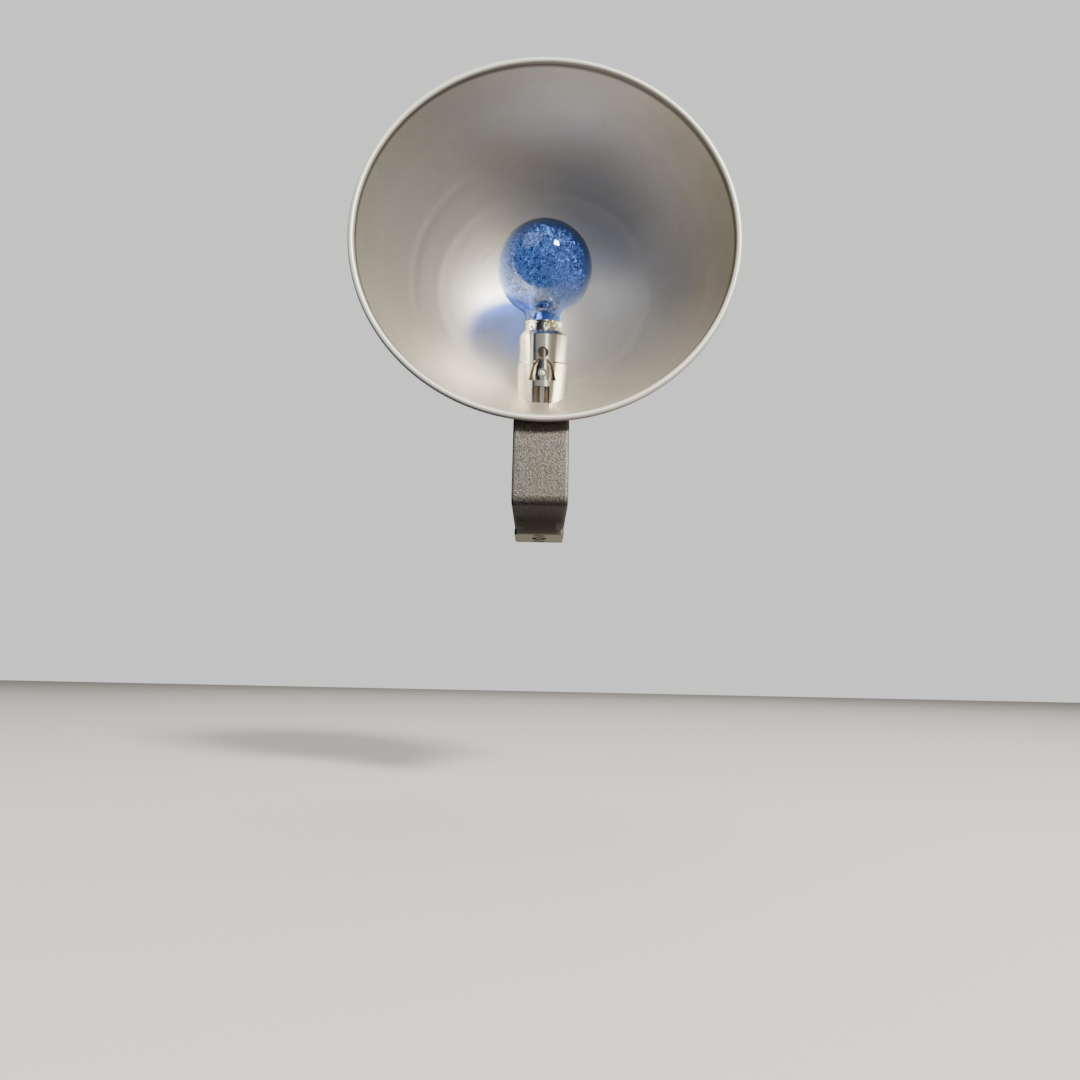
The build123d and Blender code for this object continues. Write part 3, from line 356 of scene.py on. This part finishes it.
class Effect(Finish):
    """The same node helpers, used inside a group."""

    def __init__(self, name, inputs, outputs):
        self.tree, self.inputs, self.outputs = group(name, inputs, outputs)
        self.where = self.inputs["Vector"]

    def give(self, output, value):
        self.tree.links.new(value, self.outputs[output])


# blotches of tarnish and handling, shared by every bare metal
tarnish = Effect("tarnish", {"Scale": 120.0, "Amount": 0.5}, ["Mask"])
cloud = tarnish.noise(tarnish.inputs["Scale"], 5.0, 0.6)
tarnish.give("Mask", tarnish.maths("MULTIPLY", tarnish.spread(cloud, 0.0, 1.0), tarnish.inputs["Amount"]))

# pinhead specks of grime or corrosion
specks = Effect("specks", {"Scale": 900.0, "Amount": 1.0}, ["Mask"])
dots = specks.add("ShaderNodeTexVoronoi", Vector=specks.where, Scale=specks.inputs["Scale"])
rare = specks.noise(90.0, 2.0)
near = specks.maths("LESS_THAN", dots.outputs["Distance"], 0.16)
chosen = specks.maths("GREATER_THAN", rare, 0.58)
picked = specks.maths("MULTIPLY", near, chosen)
specks.give("Mask", specks.maths("MULTIPLY", picked, specks.inputs["Amount"]))

spun_satin = Finish("spun_satin_aluminium", (0.82, 0.79, 0.74), 0.42, 0.78)
centred = spun_satin.add("ShaderNodeMapping", Vector=spun_satin.where)
centred.inputs["Location"].default_value = (0, 0, -axis_z)
parts = spun_satin.add("ShaderNodeSeparateXYZ", Vector=centred.outputs["Vector"])
square_x = spun_satin.maths("MULTIPLY", parts.outputs["X"], parts.outputs["X"])
square_z = spun_satin.maths("MULTIPLY", parts.outputs["Z"], parts.outputs["Z"])
out = spun_satin.maths("SQRT", spun_satin.maths("ADD", square_x, square_z))
along = spun_satin.maths("SUBTRACT", parts.outputs["Y"], rim_y)
turning = spun_satin.maths("ADD", out, along)
rings = spun_satin.lines(turning, 1500.0, 4.0)
bands = spun_satin.lines(turning, 160.0, 2.0)
smudge = spun_satin.group(tarnish.tree, "Mask", Scale=38.0, Amount=1.0)
grime = spun_satin.group(specks.tree, "Mask", Scale=900.0, Amount=0.35)
warm = spun_satin.ramp(smudge, (0.30, (0.86, 0.83, 0.72)), (0.75, (0.76, 0.71, 0.58)))
ringed = spun_satin.mix(spun_satin.spread(bands, -0.1, 0.35), warm, (0.64, 0.59, 0.51, 1))
dirty = spun_satin.mix(grime, ringed, (0.16, 0.13, 0.10, 1))
on_bead = spun_satin.maths(
    "LESS_THAN",
    spun_satin.maths("ABSOLUTE", spun_satin.maths("SUBTRACT", out, rim_radius - bead)), bead * 1.02,
)
at_front = spun_satin.maths("LESS_THAN", along, 2 * bead)
bead_mask = spun_satin.maths("MULTIPLY", on_bead, at_front)
# a thin dark line where the bead meets the wall: painted shade in that crease
from_seam = spun_satin.maths("ABSOLUTE", spun_satin.maths("SUBTRACT", out, mouth_radius - seam_inset))
seam_far = spun_satin.add("ShaderNodeMapRange", Value=from_seam, _1=0.0, _2=seam_width).outputs["Result"]
seam_near = spun_satin.maths("SUBTRACT", 1.0, seam_far)
seam = spun_satin.maths("MULTIPLY", seam_near, at_front)
# the rolled bead is painted pale cream and made mostly non-metallic: a painted highlight for the light its
# curve catches all round
with_bead_highlight = spun_satin.mix(bead_mask, dirty, (0.97, 0.94, 0.85, 1))
spun_satin.to("Metallic", spun_satin.spread(bead_mask, 0.92, 0.25))
# painted shade laid along the crease line
seam_painted_shade = spun_satin.maths("MULTIPLY", seam, 0.8)
spun_satin.to("Base Color", spun_satin.mix(seam_painted_shade, with_bead_highlight, (0.10, 0.07, 0.05, 1)))
satin = spun_satin.maths("ADD", spun_satin.spread(rings, 0.36, 0.52),
                         spun_satin.spread(smudge, -0.04, 0.08))
spun_satin.to("Roughness", spun_satin.maths("SUBTRACT", satin, spun_satin.maths("MULTIPLY", bead_mask, 0.08)))
spun_satin.bump(rings, 0.02 * mm, 0.35)
spun_satin.set("Anisotropic", 0.35)
grain = spun_satin.add("ShaderNodeTangent")
grain.direction_type = "RADIAL"
grain.axis = "Y"
spun_satin.to("Tangent", grain.outputs["Tangent"])

rim_to_centre = bowl_centre.y - rim_y
seat_inner = rim_to_centre + sqrt(back_radius**2 - hub_radius**2)
seat_outer = rim_to_centre + sqrt((back_radius + wall) ** 2 - hub_radius**2)
hub_inner_angle = atan2(hub_radius, seat_inner - rim_to_centre)
hub_outer_angle = atan2(hub_radius, seat_outer - rim_to_centre)
flare_start = pi / 2 - flare
# where the outside of the flare runs into the bead
lift_out = wall / cos(flare) - bead
lean_square = 1 + tan(flare) ** 2
run_in = (
    lift_out * tan(flare) + sqrt((lift_out * tan(flare)) ** 2 - lean_square * (lift_out**2 - bead**2))
) / lean_square
meet = atan2(lift_out - run_in * tan(flare), run_in) - 2 * pi
outline = [(seat_inner, 0.0)]
outline += arc((rim_to_centre, 0), back_radius, hub_inner_angle, flare_start, 72)
outline += arc((bead, rim_radius - bead), bead, -pi / 2, meet, 32)
outline += arc((rim_to_centre, 0), back_radius + wall, flare_start, hub_outer_angle, 56)
outline += [(seat_outer, 0.0)]
rim_middle = Vector((0, rim_y, axis_z))
reflector = spun("reflector", outline, rim_middle, reflector_axis, Vector((0, 0, 1)), steps=288, closed=False)
socket_lean = radians(15)
socket_up = Vector((0, -sin(socket_lean), cos(socket_lean)))
socket_back = Vector((0, cos(socket_lean), sin(socket_lean)))
bulb_behind_rim = 28.4 * mm
bulb_above_axis = 0.9 * mm
bulb_centre = Vector((0, rim_y + bulb_behind_rim, axis_z + bulb_above_axis))
# the hole under the bulb that lets the socket through, and the one for the seat's screw
passage_radius = 8.8 * mm
passage_top = bulb_centre - socket_up * 36 * mm
passage_bottom = bulb_centre - socket_up * 66 * mm
cut(reflector, rod("passage", passage_top, passage_bottom, passage_radius, 72))
screw_radius = 2.05 * mm
screw_front = Vector((0, 5 * mm, axis_z))
screw_back = Vector((0, 25 * mm, axis_z))
cut(reflector, rod("screw_hole", screw_front, screw_back, screw_radius))
paint(reflector, spun_satin)
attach(reflector, "body")
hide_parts("reflector_bowl")

# ---------------------------------------------------------------- case, cover and battery door
# Folded sheet-steel case with a screwed side cover and a hinged rear door, all sprayed in
# stove-dried hammertone enamel that is rubbed thin along its folded edges.
edge_rub = Effect("edge_rub", {"Radius": 0.4 * mm, "Breakup": 400.0}, ["Mask"])
rounded = edge_rub.add("ShaderNodeBevel", Radius=edge_rub.inputs["Radius"])
true_normal = edge_rub.add("ShaderNodeNewGeometry")
compare = edge_rub.tree.nodes.new("ShaderNodeVectorMath")
compare.operation = "DOT_PRODUCT"
edge_rub.tree.links.new(rounded.outputs["Normal"], compare.inputs[0])
edge_rub.tree.links.new(true_normal.outputs["Normal"], compare.inputs[1])
turned = edge_rub.maths("SUBTRACT", 1.0, compare.outputs["Value"])
patchy = edge_rub.spread(edge_rub.noise(edge_rub.inputs["Breakup"]), 4.0, 26.0)
broken = edge_rub.maths("MULTIPLY", turned, patchy)
edge_rub.give("Mask", edge_rub.maths("MINIMUM", broken, 1.0))

hammertone = Finish("hammertone_enamel", (0.27, 0.245, 0.22), 0.34, 0.55)
cells = hammertone.tree.nodes.new("ShaderNodeTexVoronoi")
cells.feature = "SMOOTH_F1"
wobble = hammertone.add("ShaderNodeTexNoise", Vector=hammertone.where, Scale=700.0, Detail=2.0)
pulled = hammertone.tree.nodes.new("ShaderNodeVectorMath")
pulled.operation = "MULTIPLY_ADD"
hammertone.feed(pulled, _0=wobble.outputs["Color"], _1=(0.0007, 0.0007, 0.0007), _2=hammertone.where)
hammertone.feed(cells, Vector=pulled.outputs["Vector"], Scale=1450.0, Smoothness=0.30)
flecks = hammertone.noise(2600.0, 2.0, 0.7)
blotch = hammertone.noise(60.0, 3.0)
cell_tone = hammertone.ramp(
    cells.outputs["Distance"], (0.12, (0.33, 0.295, 0.255)), (0.62, (0.078, 0.068, 0.058))
)
fleck_tone = hammertone.mix(
    hammertone.ramp(flecks, (0.42, 0.0), (0.72, 0.85)), cell_tone, (0.55, 0.51, 0.45, 1)
)
age = hammertone.ramp(blotch, (0.35, 0.0), (0.75, 0.35))
aged = hammertone.mix(age, fleck_tone, (0.16, 0.14, 0.12, 1))
rub = hammertone.group(edge_rub.tree, "Mask", Radius=0.45 * mm, Breakup=260.0)
hammertone.to("Base Color", hammertone.mix(rub, aged, (0.62, 0.58, 0.52, 1)))
hammertone.to("Roughness", hammertone.spread(flecks, 0.26, 0.50))
hammertone.bump(cells.outputs["Distance"], 0.09 * mm, 0.55)
for name in ("case_body", "case_cover", "battery_door"):
    paint(node[name], hammertone)


def metal(name, colour, worn, roughness, cloud_scale=160.0, amount=0.6, line_stretch=(1, 1, 1), depth=0.0):
    """Bare metal: tarnish that dulls it, and a drawn or brushed grain along one direction."""
    finish = Finish(name, colour, roughness, 1.0)
    dulled = finish.group(tarnish.tree, "Mask", Scale=cloud_scale, Amount=amount)
    spots = finish.group(specks.tree, "Mask", Scale=1100.0, Amount=0.5)
    toned = finish.mix(dulled, (*colour, 1), (*worn, 1))
    finish.to("Base Color", finish.mix(spots, toned, (worn[0] * 0.4, worn[1] * 0.35, worn[2] * 0.3, 1)))
    stretched = finish.add("ShaderNodeMapping", Vector=finish.where)
    stretched.inputs["Scale"].default_value = line_stretch
    lines = finish.noise(1800.0, 3.0, 0.6, stretched.outputs["Vector"])
    finish.to("Roughness", finish.maths("ADD", finish.spread(dulled, roughness * 0.8, roughness * 1.6),
                                        finish.spread(lines, -0.03, 0.03)))
    if depth:
        finish.bump(lines, depth, 0.5)
    return finish


nickel = metal("bright_nickel", (0.84, 0.81, 0.72), (0.66, 0.62, 0.50), 0.17, 90.0, 0.5,
               (1.0, 1.0, 0.08), 0.006 * mm)
plated_steel = metal("plated_steel", (0.56, 0.56, 0.55), (0.34, 0.31, 0.27), 0.32, 140.0, 0.7,
                     (0.06, 1.0, 1.0), 0.01 * mm)
sprung_steel = metal("sprung_steel", (0.66, 0.65, 0.63), (0.42, 0.38, 0.33), 0.22)
bare_brass = metal("bare_brass", (0.80, 0.63, 0.32), (0.46, 0.31, 0.14), 0.24, 120.0, 0.7)
for name in ("cover_screws", "socket_screws", "bracket_rivets", "shoe_foot"):
    paint(node[name], nickel)
paint(node["hinge_pin"], plated_steel)
for name in ("cover_posts", "foot_contact"):
    paint(node[name], bare_brass)

# ---------------------------------------------------------------- accessory-shoe foot
# Milled and nickelled foot held by two countersunk screws, with a brass contact that comes
# through a black fibre bush.
for name in ("foot_backing", "foot_screws"):
    paint(node[name], plated_steel)


def moulded(name, colour, light, roughness, grain_scale=1500.0, depth=0.01):
    """Moulded or pressed non-metal with a fine skin and paler, handled patches."""
    finish = Finish(name, colour, roughness)
    handled = finish.group(tarnish.tree, "Mask", Scale=110.0, Amount=0.8)
    rubbed = finish.group(edge_rub.tree, "Mask", Radius=0.25 * mm, Breakup=500.0)
    base = finish.mix(handled, (*colour, 1), (*light, 1))
    paler = tuple(part * 1.8 + 0.03 for part in light)
    finish.to("Base Color", finish.mix(finish.maths("MULTIPLY", rubbed, 0.5), base, (*paler, 1)))
    skin = finish.noise(grain_scale, 3.0)
    finish.to("Roughness", finish.spread(skin, roughness * 0.75, roughness * 1.3))
    finish.bump(skin, depth * mm, 0.4)
    return finish


black_fibre = moulded("black_fibre", (0.03, 0.03, 0.032), (0.07, 0.065, 0.06), 0.6, 2200.0)
red_fibre = moulded("vulcanised_fibre", (0.30, 0.12, 0.07), (0.40, 0.19, 0.12), 0.62, 1800.0, 0.03)
black_moulding = moulded("black_moulding", (0.016, 0.016, 0.017), (0.04, 0.038, 0.036), 0.28)
paint(node["foot_insulator"], black_fibre)

# ---------------------------------------------------------------- reflector bracket
# Bent steel strap riveted to the case; a slotted nickel screw and a hexagon nut clamp the
# bowl's seat to it, and a felt pad keeps bowl and case from rattling.
for name in ("reflector_bracket", "reflector_nut"):
    paint(node[name], plated_steel)
paint(node["reflector_screw"], nickel)
felt = Finish("black_felt", (0.05, 0.05, 0.05), 0.95)
fibres = felt.noise(3200.0, 5.0, 0.75)
felt.to("Base Color", felt.ramp(fibres, (0.3, (0.02, 0.02, 0.02)), (0.75, (0.13, 0.125, 0.12))))
felt.set("Sheen Weight", 0.5)
felt.bump(fibres, 0.2 * mm, 0.8)
paint(node["cradle_pad"], felt)

# ---------------------------------------------------------------- bulb socket
# Drawn brass shell, nickelled bright, pressed over a blackened brass sleeve whose slots
# guide the bulb's pins; a blued leaf spring snaps over the front pin in the flared window.
paint(node["socket_shell"], nickel)
blackened_brass = metal("blackened_brass", (0.16, 0.14, 0.12), (0.30, 0.22, 0.12), 0.42, 200.0, 0.8)
paint(node["socket_sleeve"], blackened_brass)
paint(node["latch_spring"], sprung_steel)
paint(node["socket_plate"], plated_steel)

# ---------------------------------------------------------------- ejector and centre contact
# Fibre carrier under the bulb with a steel arm that ends in a ribbed black thumb pad behind
# the case; the brass plunger rides in it on its own small spring.
paint(node["ejector_carrier"], red_fibre)
paint(node["ejector_arm"], plated_steel)
paint(node["ejector_button"], black_moulding)
for name in ("ejector_spring", "plunger_spring"):
    paint(node[name], sprung_steel)
paint(node["contact_plunger"], bare_brass)

# ---------------------------------------------------------------- flash bulb
# Blown glass globe with a short neck, dipped in clear blue lacquer, filled with loose
# shredded foil and cemented into a single-contact bayonet cap.
globe_radius = 18.4 * mm
glass = 0.7 * mm
cap_radius = 7.5 * mm
neck_radius = cap_radius - 0.4 * mm
neck_blend = 4.0 * mm
neck_end = -34.0 * mm
cap_top = -20.6 * mm
cap_end = -45.2 * mm


def bulb_side(inset, end):
    """Side of the globe and neck, from the crown down, blended where they meet."""
    big = globe_radius - inset
    tube = neck_radius - inset
    blend = neck_blend + inset
    blend_out = tube + blend
    blend_along = -sqrt((big + blend) ** 2 - blend_out**2)
    touch = atan2(blend_out, blend_along)
    side = arc((0, 0), big, 0.0, touch, 48)
    side += arc((blend_along, blend_out), blend, touch - pi, -pi / 2, 10)[1:]
    return side + [(end, tube)]


outside = bulb_side(0.0, neck_end)
cavity_end = neck_end + 1.0 * mm
inside = bulb_side(glass, cavity_end)
envelope_outline = outside + [(neck_end, 0.0)]
cavity_outline = inside + [(cavity_end, 0.0)]
glass_steps = 96
glass_sharp = 60
bulb_side_out = Vector((1, 0, 0))
envelope = spun(
    "bulb_envelope", envelope_outline, bulb_centre, socket_up, bulb_side_out, glass_steps, glass_sharp, False
)
cavity = spun(
    "bulb_cavity", cavity_outline, bulb_centre, socket_up, bulb_side_out, glass_steps, glass_sharp, False
)
bm = bmesh.new()
bm.from_mesh(cavity.data)
bmesh.ops.reverse_faces(bm, faces=bm.faces)
bm.from_mesh(envelope.data)
bm.to_mesh(envelope.data)
bm.free()
bpy.data.objects.remove(cavity)
for face in envelope.data.polygons:
    face.use_smooth = True

blue_lacquer = Finish("blue_lacquered_glass", (0.42, 0.56, 0.98), 0.02)
blue_lacquer.set("Transmission Weight", 1.0)
blue_lacquer.set("IOR", 1.5)
dip = blue_lacquer.noise(70.0, 3.0)
dip_colour = blue_lacquer.ramp(dip, (0.3, (0.27, 0.42, 0.76)), (0.7, (0.36, 0.52, 0.88)))
blue_lacquer.to("Base Color", dip_colour)
runs = blue_lacquer.noise(160.0, 2.0)
blue_lacquer.bump(runs, 0.05 * mm, 0.3)
# light that shines through the lacquer throws a blue shadow instead of a black one
tinted = blue_lacquer.add("ShaderNodeBsdfTransparent")
tinted.inputs["Color"].default_value = (0.40, 0.53, 0.80, 1.0)
ray = blue_lacquer.add("ShaderNodeLightPath")
through = blue_lacquer.tree.nodes.new("ShaderNodeMixShader")
blue_lacquer.feed(through, _0=ray.outputs["Is Shadow Ray"], _1=blue_lacquer.shader.outputs["BSDF"],
                  _2=tinted.outputs["BSDF"])
blue_lacquer.tree.links.new(through.outputs["Shader"],
                            blue_lacquer.tree.nodes["Material Output"].inputs["Surface"])
paint(envelope, blue_lacquer)
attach(envelope, "bulb")
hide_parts("bulb_glass")

# shredded foil: a few crumpled ribbons, thrown into the globe many times over
ribbon_steps = 8
ribbon_kinds = 14
ribbon_count = 2100
foil_room = 17.2 * mm
foil_throw = 15.5 * mm
thin_below = -0.55
thinned = 0.80
dice = random.Random(7)


def ribbon(width):
    """One crumpled strip of foil, a narrow grid bent along a wandering line."""
    bm = bmesh.new()
    bmesh.ops.create_grid(bm, x_segments=ribbon_steps, y_segments=1, size=0.5)
    heading = Vector((1, 0, 0))
    spin_axis = Vector((0, 0, 1))
    place = Vector((0, 0, 0))
    places = []
    for _ in range(ribbon_steps + 1):
        places.append((place.copy(), heading.cross(spin_axis).normalized()))
        place += heading * dice.uniform(0.35, 0.8) * mm
        bend = Vector([dice.gauss(0, 0.42) for _ in range(3)])
        heading = (heading + bend).normalized()
        spin_axis = (spin_axis + Vector([dice.gauss(0, 0.5) for _ in range(3)])).normalized()
    middle = sum((spot for spot, _ in places), Vector()) / len(places)
    for vert in bm.verts:
        column = round((vert.co.x + 0.5) * ribbon_steps)
        spot, across = places[column]
        vert.co = spot - middle + across * (width if vert.co.y > 0 else -width)
    mesh = bpy.data.meshes.new("ribbon")
    bm.to_mesh(mesh)
    bm.free()
    return mesh


ribbons = [ribbon(dice.uniform(0.09, 0.19) * mm) for _ in range(ribbon_kinds)]
bm = bmesh.new()
done = 0
while done < ribbon_count:
    spot = Vector([dice.uniform(-1, 1) for _ in range(3)])
    height = spot.dot(socket_up)
    if spot.length > 1 or (height < thin_below and dice.random() < thinned):
        continue
    throw = Euler([dice.uniform(0, 2 * pi) for _ in range(3)]).to_matrix().to_4x4()
    first = len(bm.verts)
    bm.from_mesh(ribbons[done % ribbon_kinds])
    bm.verts.ensure_lookup_table()
    fresh = bm.verts[first:]
    place = Matrix.Translation(spot * foil_throw) @ throw
    bmesh.ops.transform(bm, matrix=place, verts=fresh)
    for vert in fresh:
        reach = vert.co.length
        if reach > foil_room:
            vert.co *= foil_room / reach
    done += 1
bmesh.ops.translate(bm, verts=bm.verts, vec=bulb_centre)
mesh = bpy.data.meshes.new("foil_shreds")
bm.to_mesh(mesh)
bm.free()
foil = link("foil_shreds", mesh)
shred = Finish("shredded_foil", (0.95, 0.96, 0.98), 0.24, 0.40)
crinkle_and_glints = shred.noise(650.0, 2.0)
# the foil's colour swings from dark blue-black to white along the same noise: painted glints and painted
# shade on the crinkled foil
shred.to("Base Color", shred.ramp(crinkle_and_glints, (0.42, (0.08, 0.11, 0.18)), (0.54, (1.0, 1.0, 1.0))))
shred.to("Roughness", shred.spread(crinkle_and_glints, 0.14, 0.42))
shred.bump(crinkle_and_glints, 0.2 * mm, 0.6)
paint(foil, shred)
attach(foil, "bulb")
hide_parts("bulb_foil")

# the bayonet cap, with a rolled top edge and a ring of crimping dents
cap_skin = 0.4 * mm
cap_outline = [
    (cap_top - 0.5 * mm, neck_radius + 0.02 * mm),
    (cap_top - 0.1 * mm, neck_radius + 0.08 * mm),
    (cap_top, cap_radius - 0.1 * mm),
    (cap_top - 0.15 * mm, cap_radius + 0.18 * mm),
    (cap_top - 0.55 * mm, cap_radius + 0.22 * mm),
    (cap_top - 0.95 * mm, cap_radius + 0.05 * mm),
]
cap_outline += [(cap_top - step * 0.35 * mm, cap_radius) for step in range(3, 26)]
cap_outline += [(cap_end + 0.8 * mm, cap_radius), (cap_end + 0.2 * mm, cap_radius - 0.15 * mm)]
cap_outline += [(cap_end, cap_radius - cap_skin), (cap_end + 0.3 * mm, neck_radius + 0.02 * mm)]
cap = spun("bulb_cap", cap_outline, bulb_centre, socket_up, bulb_side_out, 144, 40)
dent_level = cap_top - 2.4 * mm
dent_count = 8
dent_depth = 0.28 * mm
dent_height = 0.65 * mm
dent_width = 0.8 * mm
for vert in cap.data.vertices:
    local = vert.co - bulb_centre
    level = local.dot(socket_up)
    flat = local - socket_up * level
    turn = atan2(flat.dot(socket_back), flat.x)
    beside = (turn * dent_count / (2 * pi) + 0.25) % 1.0 - 0.5
    along_dent = (level - dent_level) / dent_height
    across_dent = beside * 2 * pi * cap_radius / dent_count / dent_width
    press = dent_depth * exp(-(along_dent**2 + across_dent**2))
    vert.co -= flat.normalized() * press
paint(cap, nickel)
pin_level = bulb_centre + socket_up * -40.8 * mm
pin_root = 7.3 * mm
pin_tip = 8.5 * mm
pin_radius = 1.0 * mm
pins = []
for side in (-1, 1):
    root = pin_level + socket_back * side * pin_root
    tip = pin_level + socket_back * side * pin_tip
    pins.append(rod("bayonet_pin", root, tip, pin_radius, 32))
bm = bmesh.new()
bm.from_mesh(cap.data)
for pin in pins:
    bm.from_mesh(pin.data)
    bpy.data.objects.remove(pin)
bm.to_mesh(cap.data)
bm.free()
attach(cap, "bulb")
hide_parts("bulb_base")


bump_count = 9


def blob(name, centre, outward, size, flatness, seed, finish, body):
    """A small frozen drop of solder or glass, flattened against what it sits on."""
    bm = bmesh.new()
    bmesh.ops.create_icosphere(bm, subdivisions=3, radius=size)
    wander = random.Random(seed)
    bumps = []
    for _ in range(bump_count):
        lean = Vector([wander.gauss(0, 1) for _ in range(3)]).normalized()
        bumps.append((lean, wander.uniform(0.05, 0.16)))
    for vert in bm.verts:
        facing = vert.co.normalized()
        swell = sum(amount * max(0.0, facing.dot(lean)) ** 4 for lean, amount in bumps)
        vert.co *= 1.0 + swell
        vert.co.z *= flatness
    stand = outward.to_track_quat("Z", "Y").to_matrix().to_4x4()
    bmesh.ops.transform(bm, verts=bm.verts, matrix=Matrix.Translation(centre) @ stand)
    piece = paint(from_bmesh(name, bm), finish)
    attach(piece, body)
    return piece


solder = metal("dull_solder", (0.60, 0.59, 0.57), (0.36, 0.33, 0.28), 0.42, 600.0, 0.8)
rosin = metal("rosined_solder", (0.78, 0.70, 0.42), (0.55, 0.42, 0.18), 0.3, 500.0, 0.8)
spot_turn = radians(-62)
spot_out = Vector((1, 0, 0)) * cos(spot_turn) + socket_back * sin(spot_turn)
spot_place = bulb_centre + socket_up * (cap_top - 1.5 * mm) + spot_out * (cap_radius + 0.05 * mm)
blob("cap_solder", spot_place, spot_out, 1.15 * mm, 0.45, 3, rosin, "bulb")
contact_place = bulb_centre - socket_up * 46.95 * mm
contact_solder = blob(
    "contact_solder", contact_place, -socket_up, 2.1 * mm, 0.29, 5, solder, "bulb"
)
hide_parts("bulb_contact")

stem_glass = Finish("stem_glass", (0.93, 0.96, 0.97), 0.04)
stem_glass.set("Transmission Weight", 1.0)
stem_glass.set("IOR", 1.52)
seeds = stem_glass.noise(500.0, 2.0)
stem_glass.bump(seeds, 0.1 * mm, 0.3)
for name in ("bulb_stem", "test_lamp"):
    paint(node[name], stem_glass)
paint(node["bulb_leads"], sprung_steel)
primer = moulded("grey_primer", (0.20, 0.19, 0.19), (0.32, 0.30, 0.29), 0.8, 3000.0, 0.05)
bead_level = bulb_centre + socket_up * -3.4 * mm
bead_out = 2.0 * mm
bead_size = 0.75 * mm
for name, side in (("primer_bead_left", -1), ("primer_bead_right", 1)):
    top = bead_level + Vector((side * bead_out, 0, 0))
    blob(name, top, socket_up, bead_size, 1.4, 11 + side, primer, "bulb")
vitrite = moulded("black_vitrite", (0.02, 0.02, 0.025), (0.05, 0.05, 0.055), 0.16, 900.0)
paint(node["bulb_insulator"], vitrite)

# ---------------------------------------------------------------- battery and its contacts
# Flat dry battery in a printed card jacket, between a brass leaf at the front and a coil
# spring on the door, on a fibre tray.
jacket = Finish("battery_jacket", (0.08, 0.13, 0.30), 0.5)
jacket_parts = jacket.add("ShaderNodeSeparateXYZ", Vector=jacket.where)
battery_low, battery_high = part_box("battery")
battery_run = jacket.add("ShaderNodeMapRange", Value=jacket_parts.outputs["Y"],
                         _1=battery_low.y, _2=battery_high.y).outputs["Result"]
card = jacket.noise(1600.0, 4.0)
print_bands = jacket.ramp(battery_run, (0.0, (0.55, 0.42, 0.16)), (0.12, (0.07, 0.12, 0.30)),
                          (0.80, (0.62, 0.10, 0.07)), (0.90, (0.07, 0.12, 0.30)))
print_bands.node.color_ramp.interpolation = "CONSTANT"
worn_card = jacket.ramp(card, (0.55, 0.0), (0.8, 0.3))
jacket.to("Base Color", jacket.mix(worn_card, print_bands, (0.5, 0.47, 0.4, 1)))
jacket.bump(card, 0.03 * mm, 0.5)
paint(node["battery"], jacket)
for name in ("battery_terminals", "front_contact"):
    paint(node[name], bare_brass)
for name in ("battery_tray", "front_insulator", "door_insulator"):
    paint(node[name], red_fibre)
for name in ("door_spring", "door_catch"):
    paint(node[name], sprung_steel)

# ---------------------------------------------------------------- condenser, resistor and wires
# Drawn aluminium condenser held by a spring clip, a small resistor on a fibre tag strip, and
# cloth-covered hook-up wire between them and the contacts.
drawn_aluminium = metal("drawn_aluminium", (0.80, 0.80, 0.80), (0.56, 0.55, 0.53), 0.3, 100.0, 0.6,
                        (1.0, 0.05, 1.0), 0.01 * mm)
paint(node["condenser"], drawn_aluminium)
paint(node["condenser_clip"], sprung_steel)
paint(node["tag_strip"], red_fibre)
resistor_lacquer = moulded("resistor_lacquer", (0.42, 0.27, 0.15), (0.52, 0.36, 0.22), 0.4)
paint(node["resistor"], resistor_lacquer)
wire_cloth = Finish("wire_cloth", (0.42, 0.05, 0.04), 0.75)
weave = wire_cloth.add("ShaderNodeTexWave", Vector=wire_cloth.where, Scale=900.0, Distortion=2.0)
threads = wire_cloth.mix(weave.outputs["Fac"], (0.30, 0.03, 0.03, 1), (0.50, 0.08, 0.06, 1))
wire_cloth.to("Base Color", threads)
wire_cloth.bump(weave.outputs["Fac"], 0.06 * mm, 0.6)
paint(node["wiring"], wire_cloth)

# ---------------------------------------------------------------- test button and lamp
# Black moulded push button over a brass leaf, and under it a tiny lamp behind a ruby lens in
# a nickelled bezel.
for name in ("button_housing", "test_button"):
    paint(node[name], black_moulding)
paint(node["button_spring"], sprung_steel)
paint(node["test_contact"], bare_brass)
paint(node["lamp_bezel"], nickel)
ruby = Finish("ruby_lens", (0.42, 0.006, 0.008), 0.12)
ruby.set("Coat Weight", 0.6)
depths = ruby.noise(420.0, 2.0)
ruby.to("Base Color", ruby.ramp(depths, (0.3, (0.30, 0.004, 0.005)), (0.75, (0.58, 0.02, 0.02))))
paint(node["lamp_lens"], ruby)

# the pieces that the low cards are allowed to light
for piece in (node["socket_shell"], node["latch_spring"]):
    bright_parts.objects.link(piece)
    shell_parts.objects.link(piece)
bright_parts.objects.link(cap)
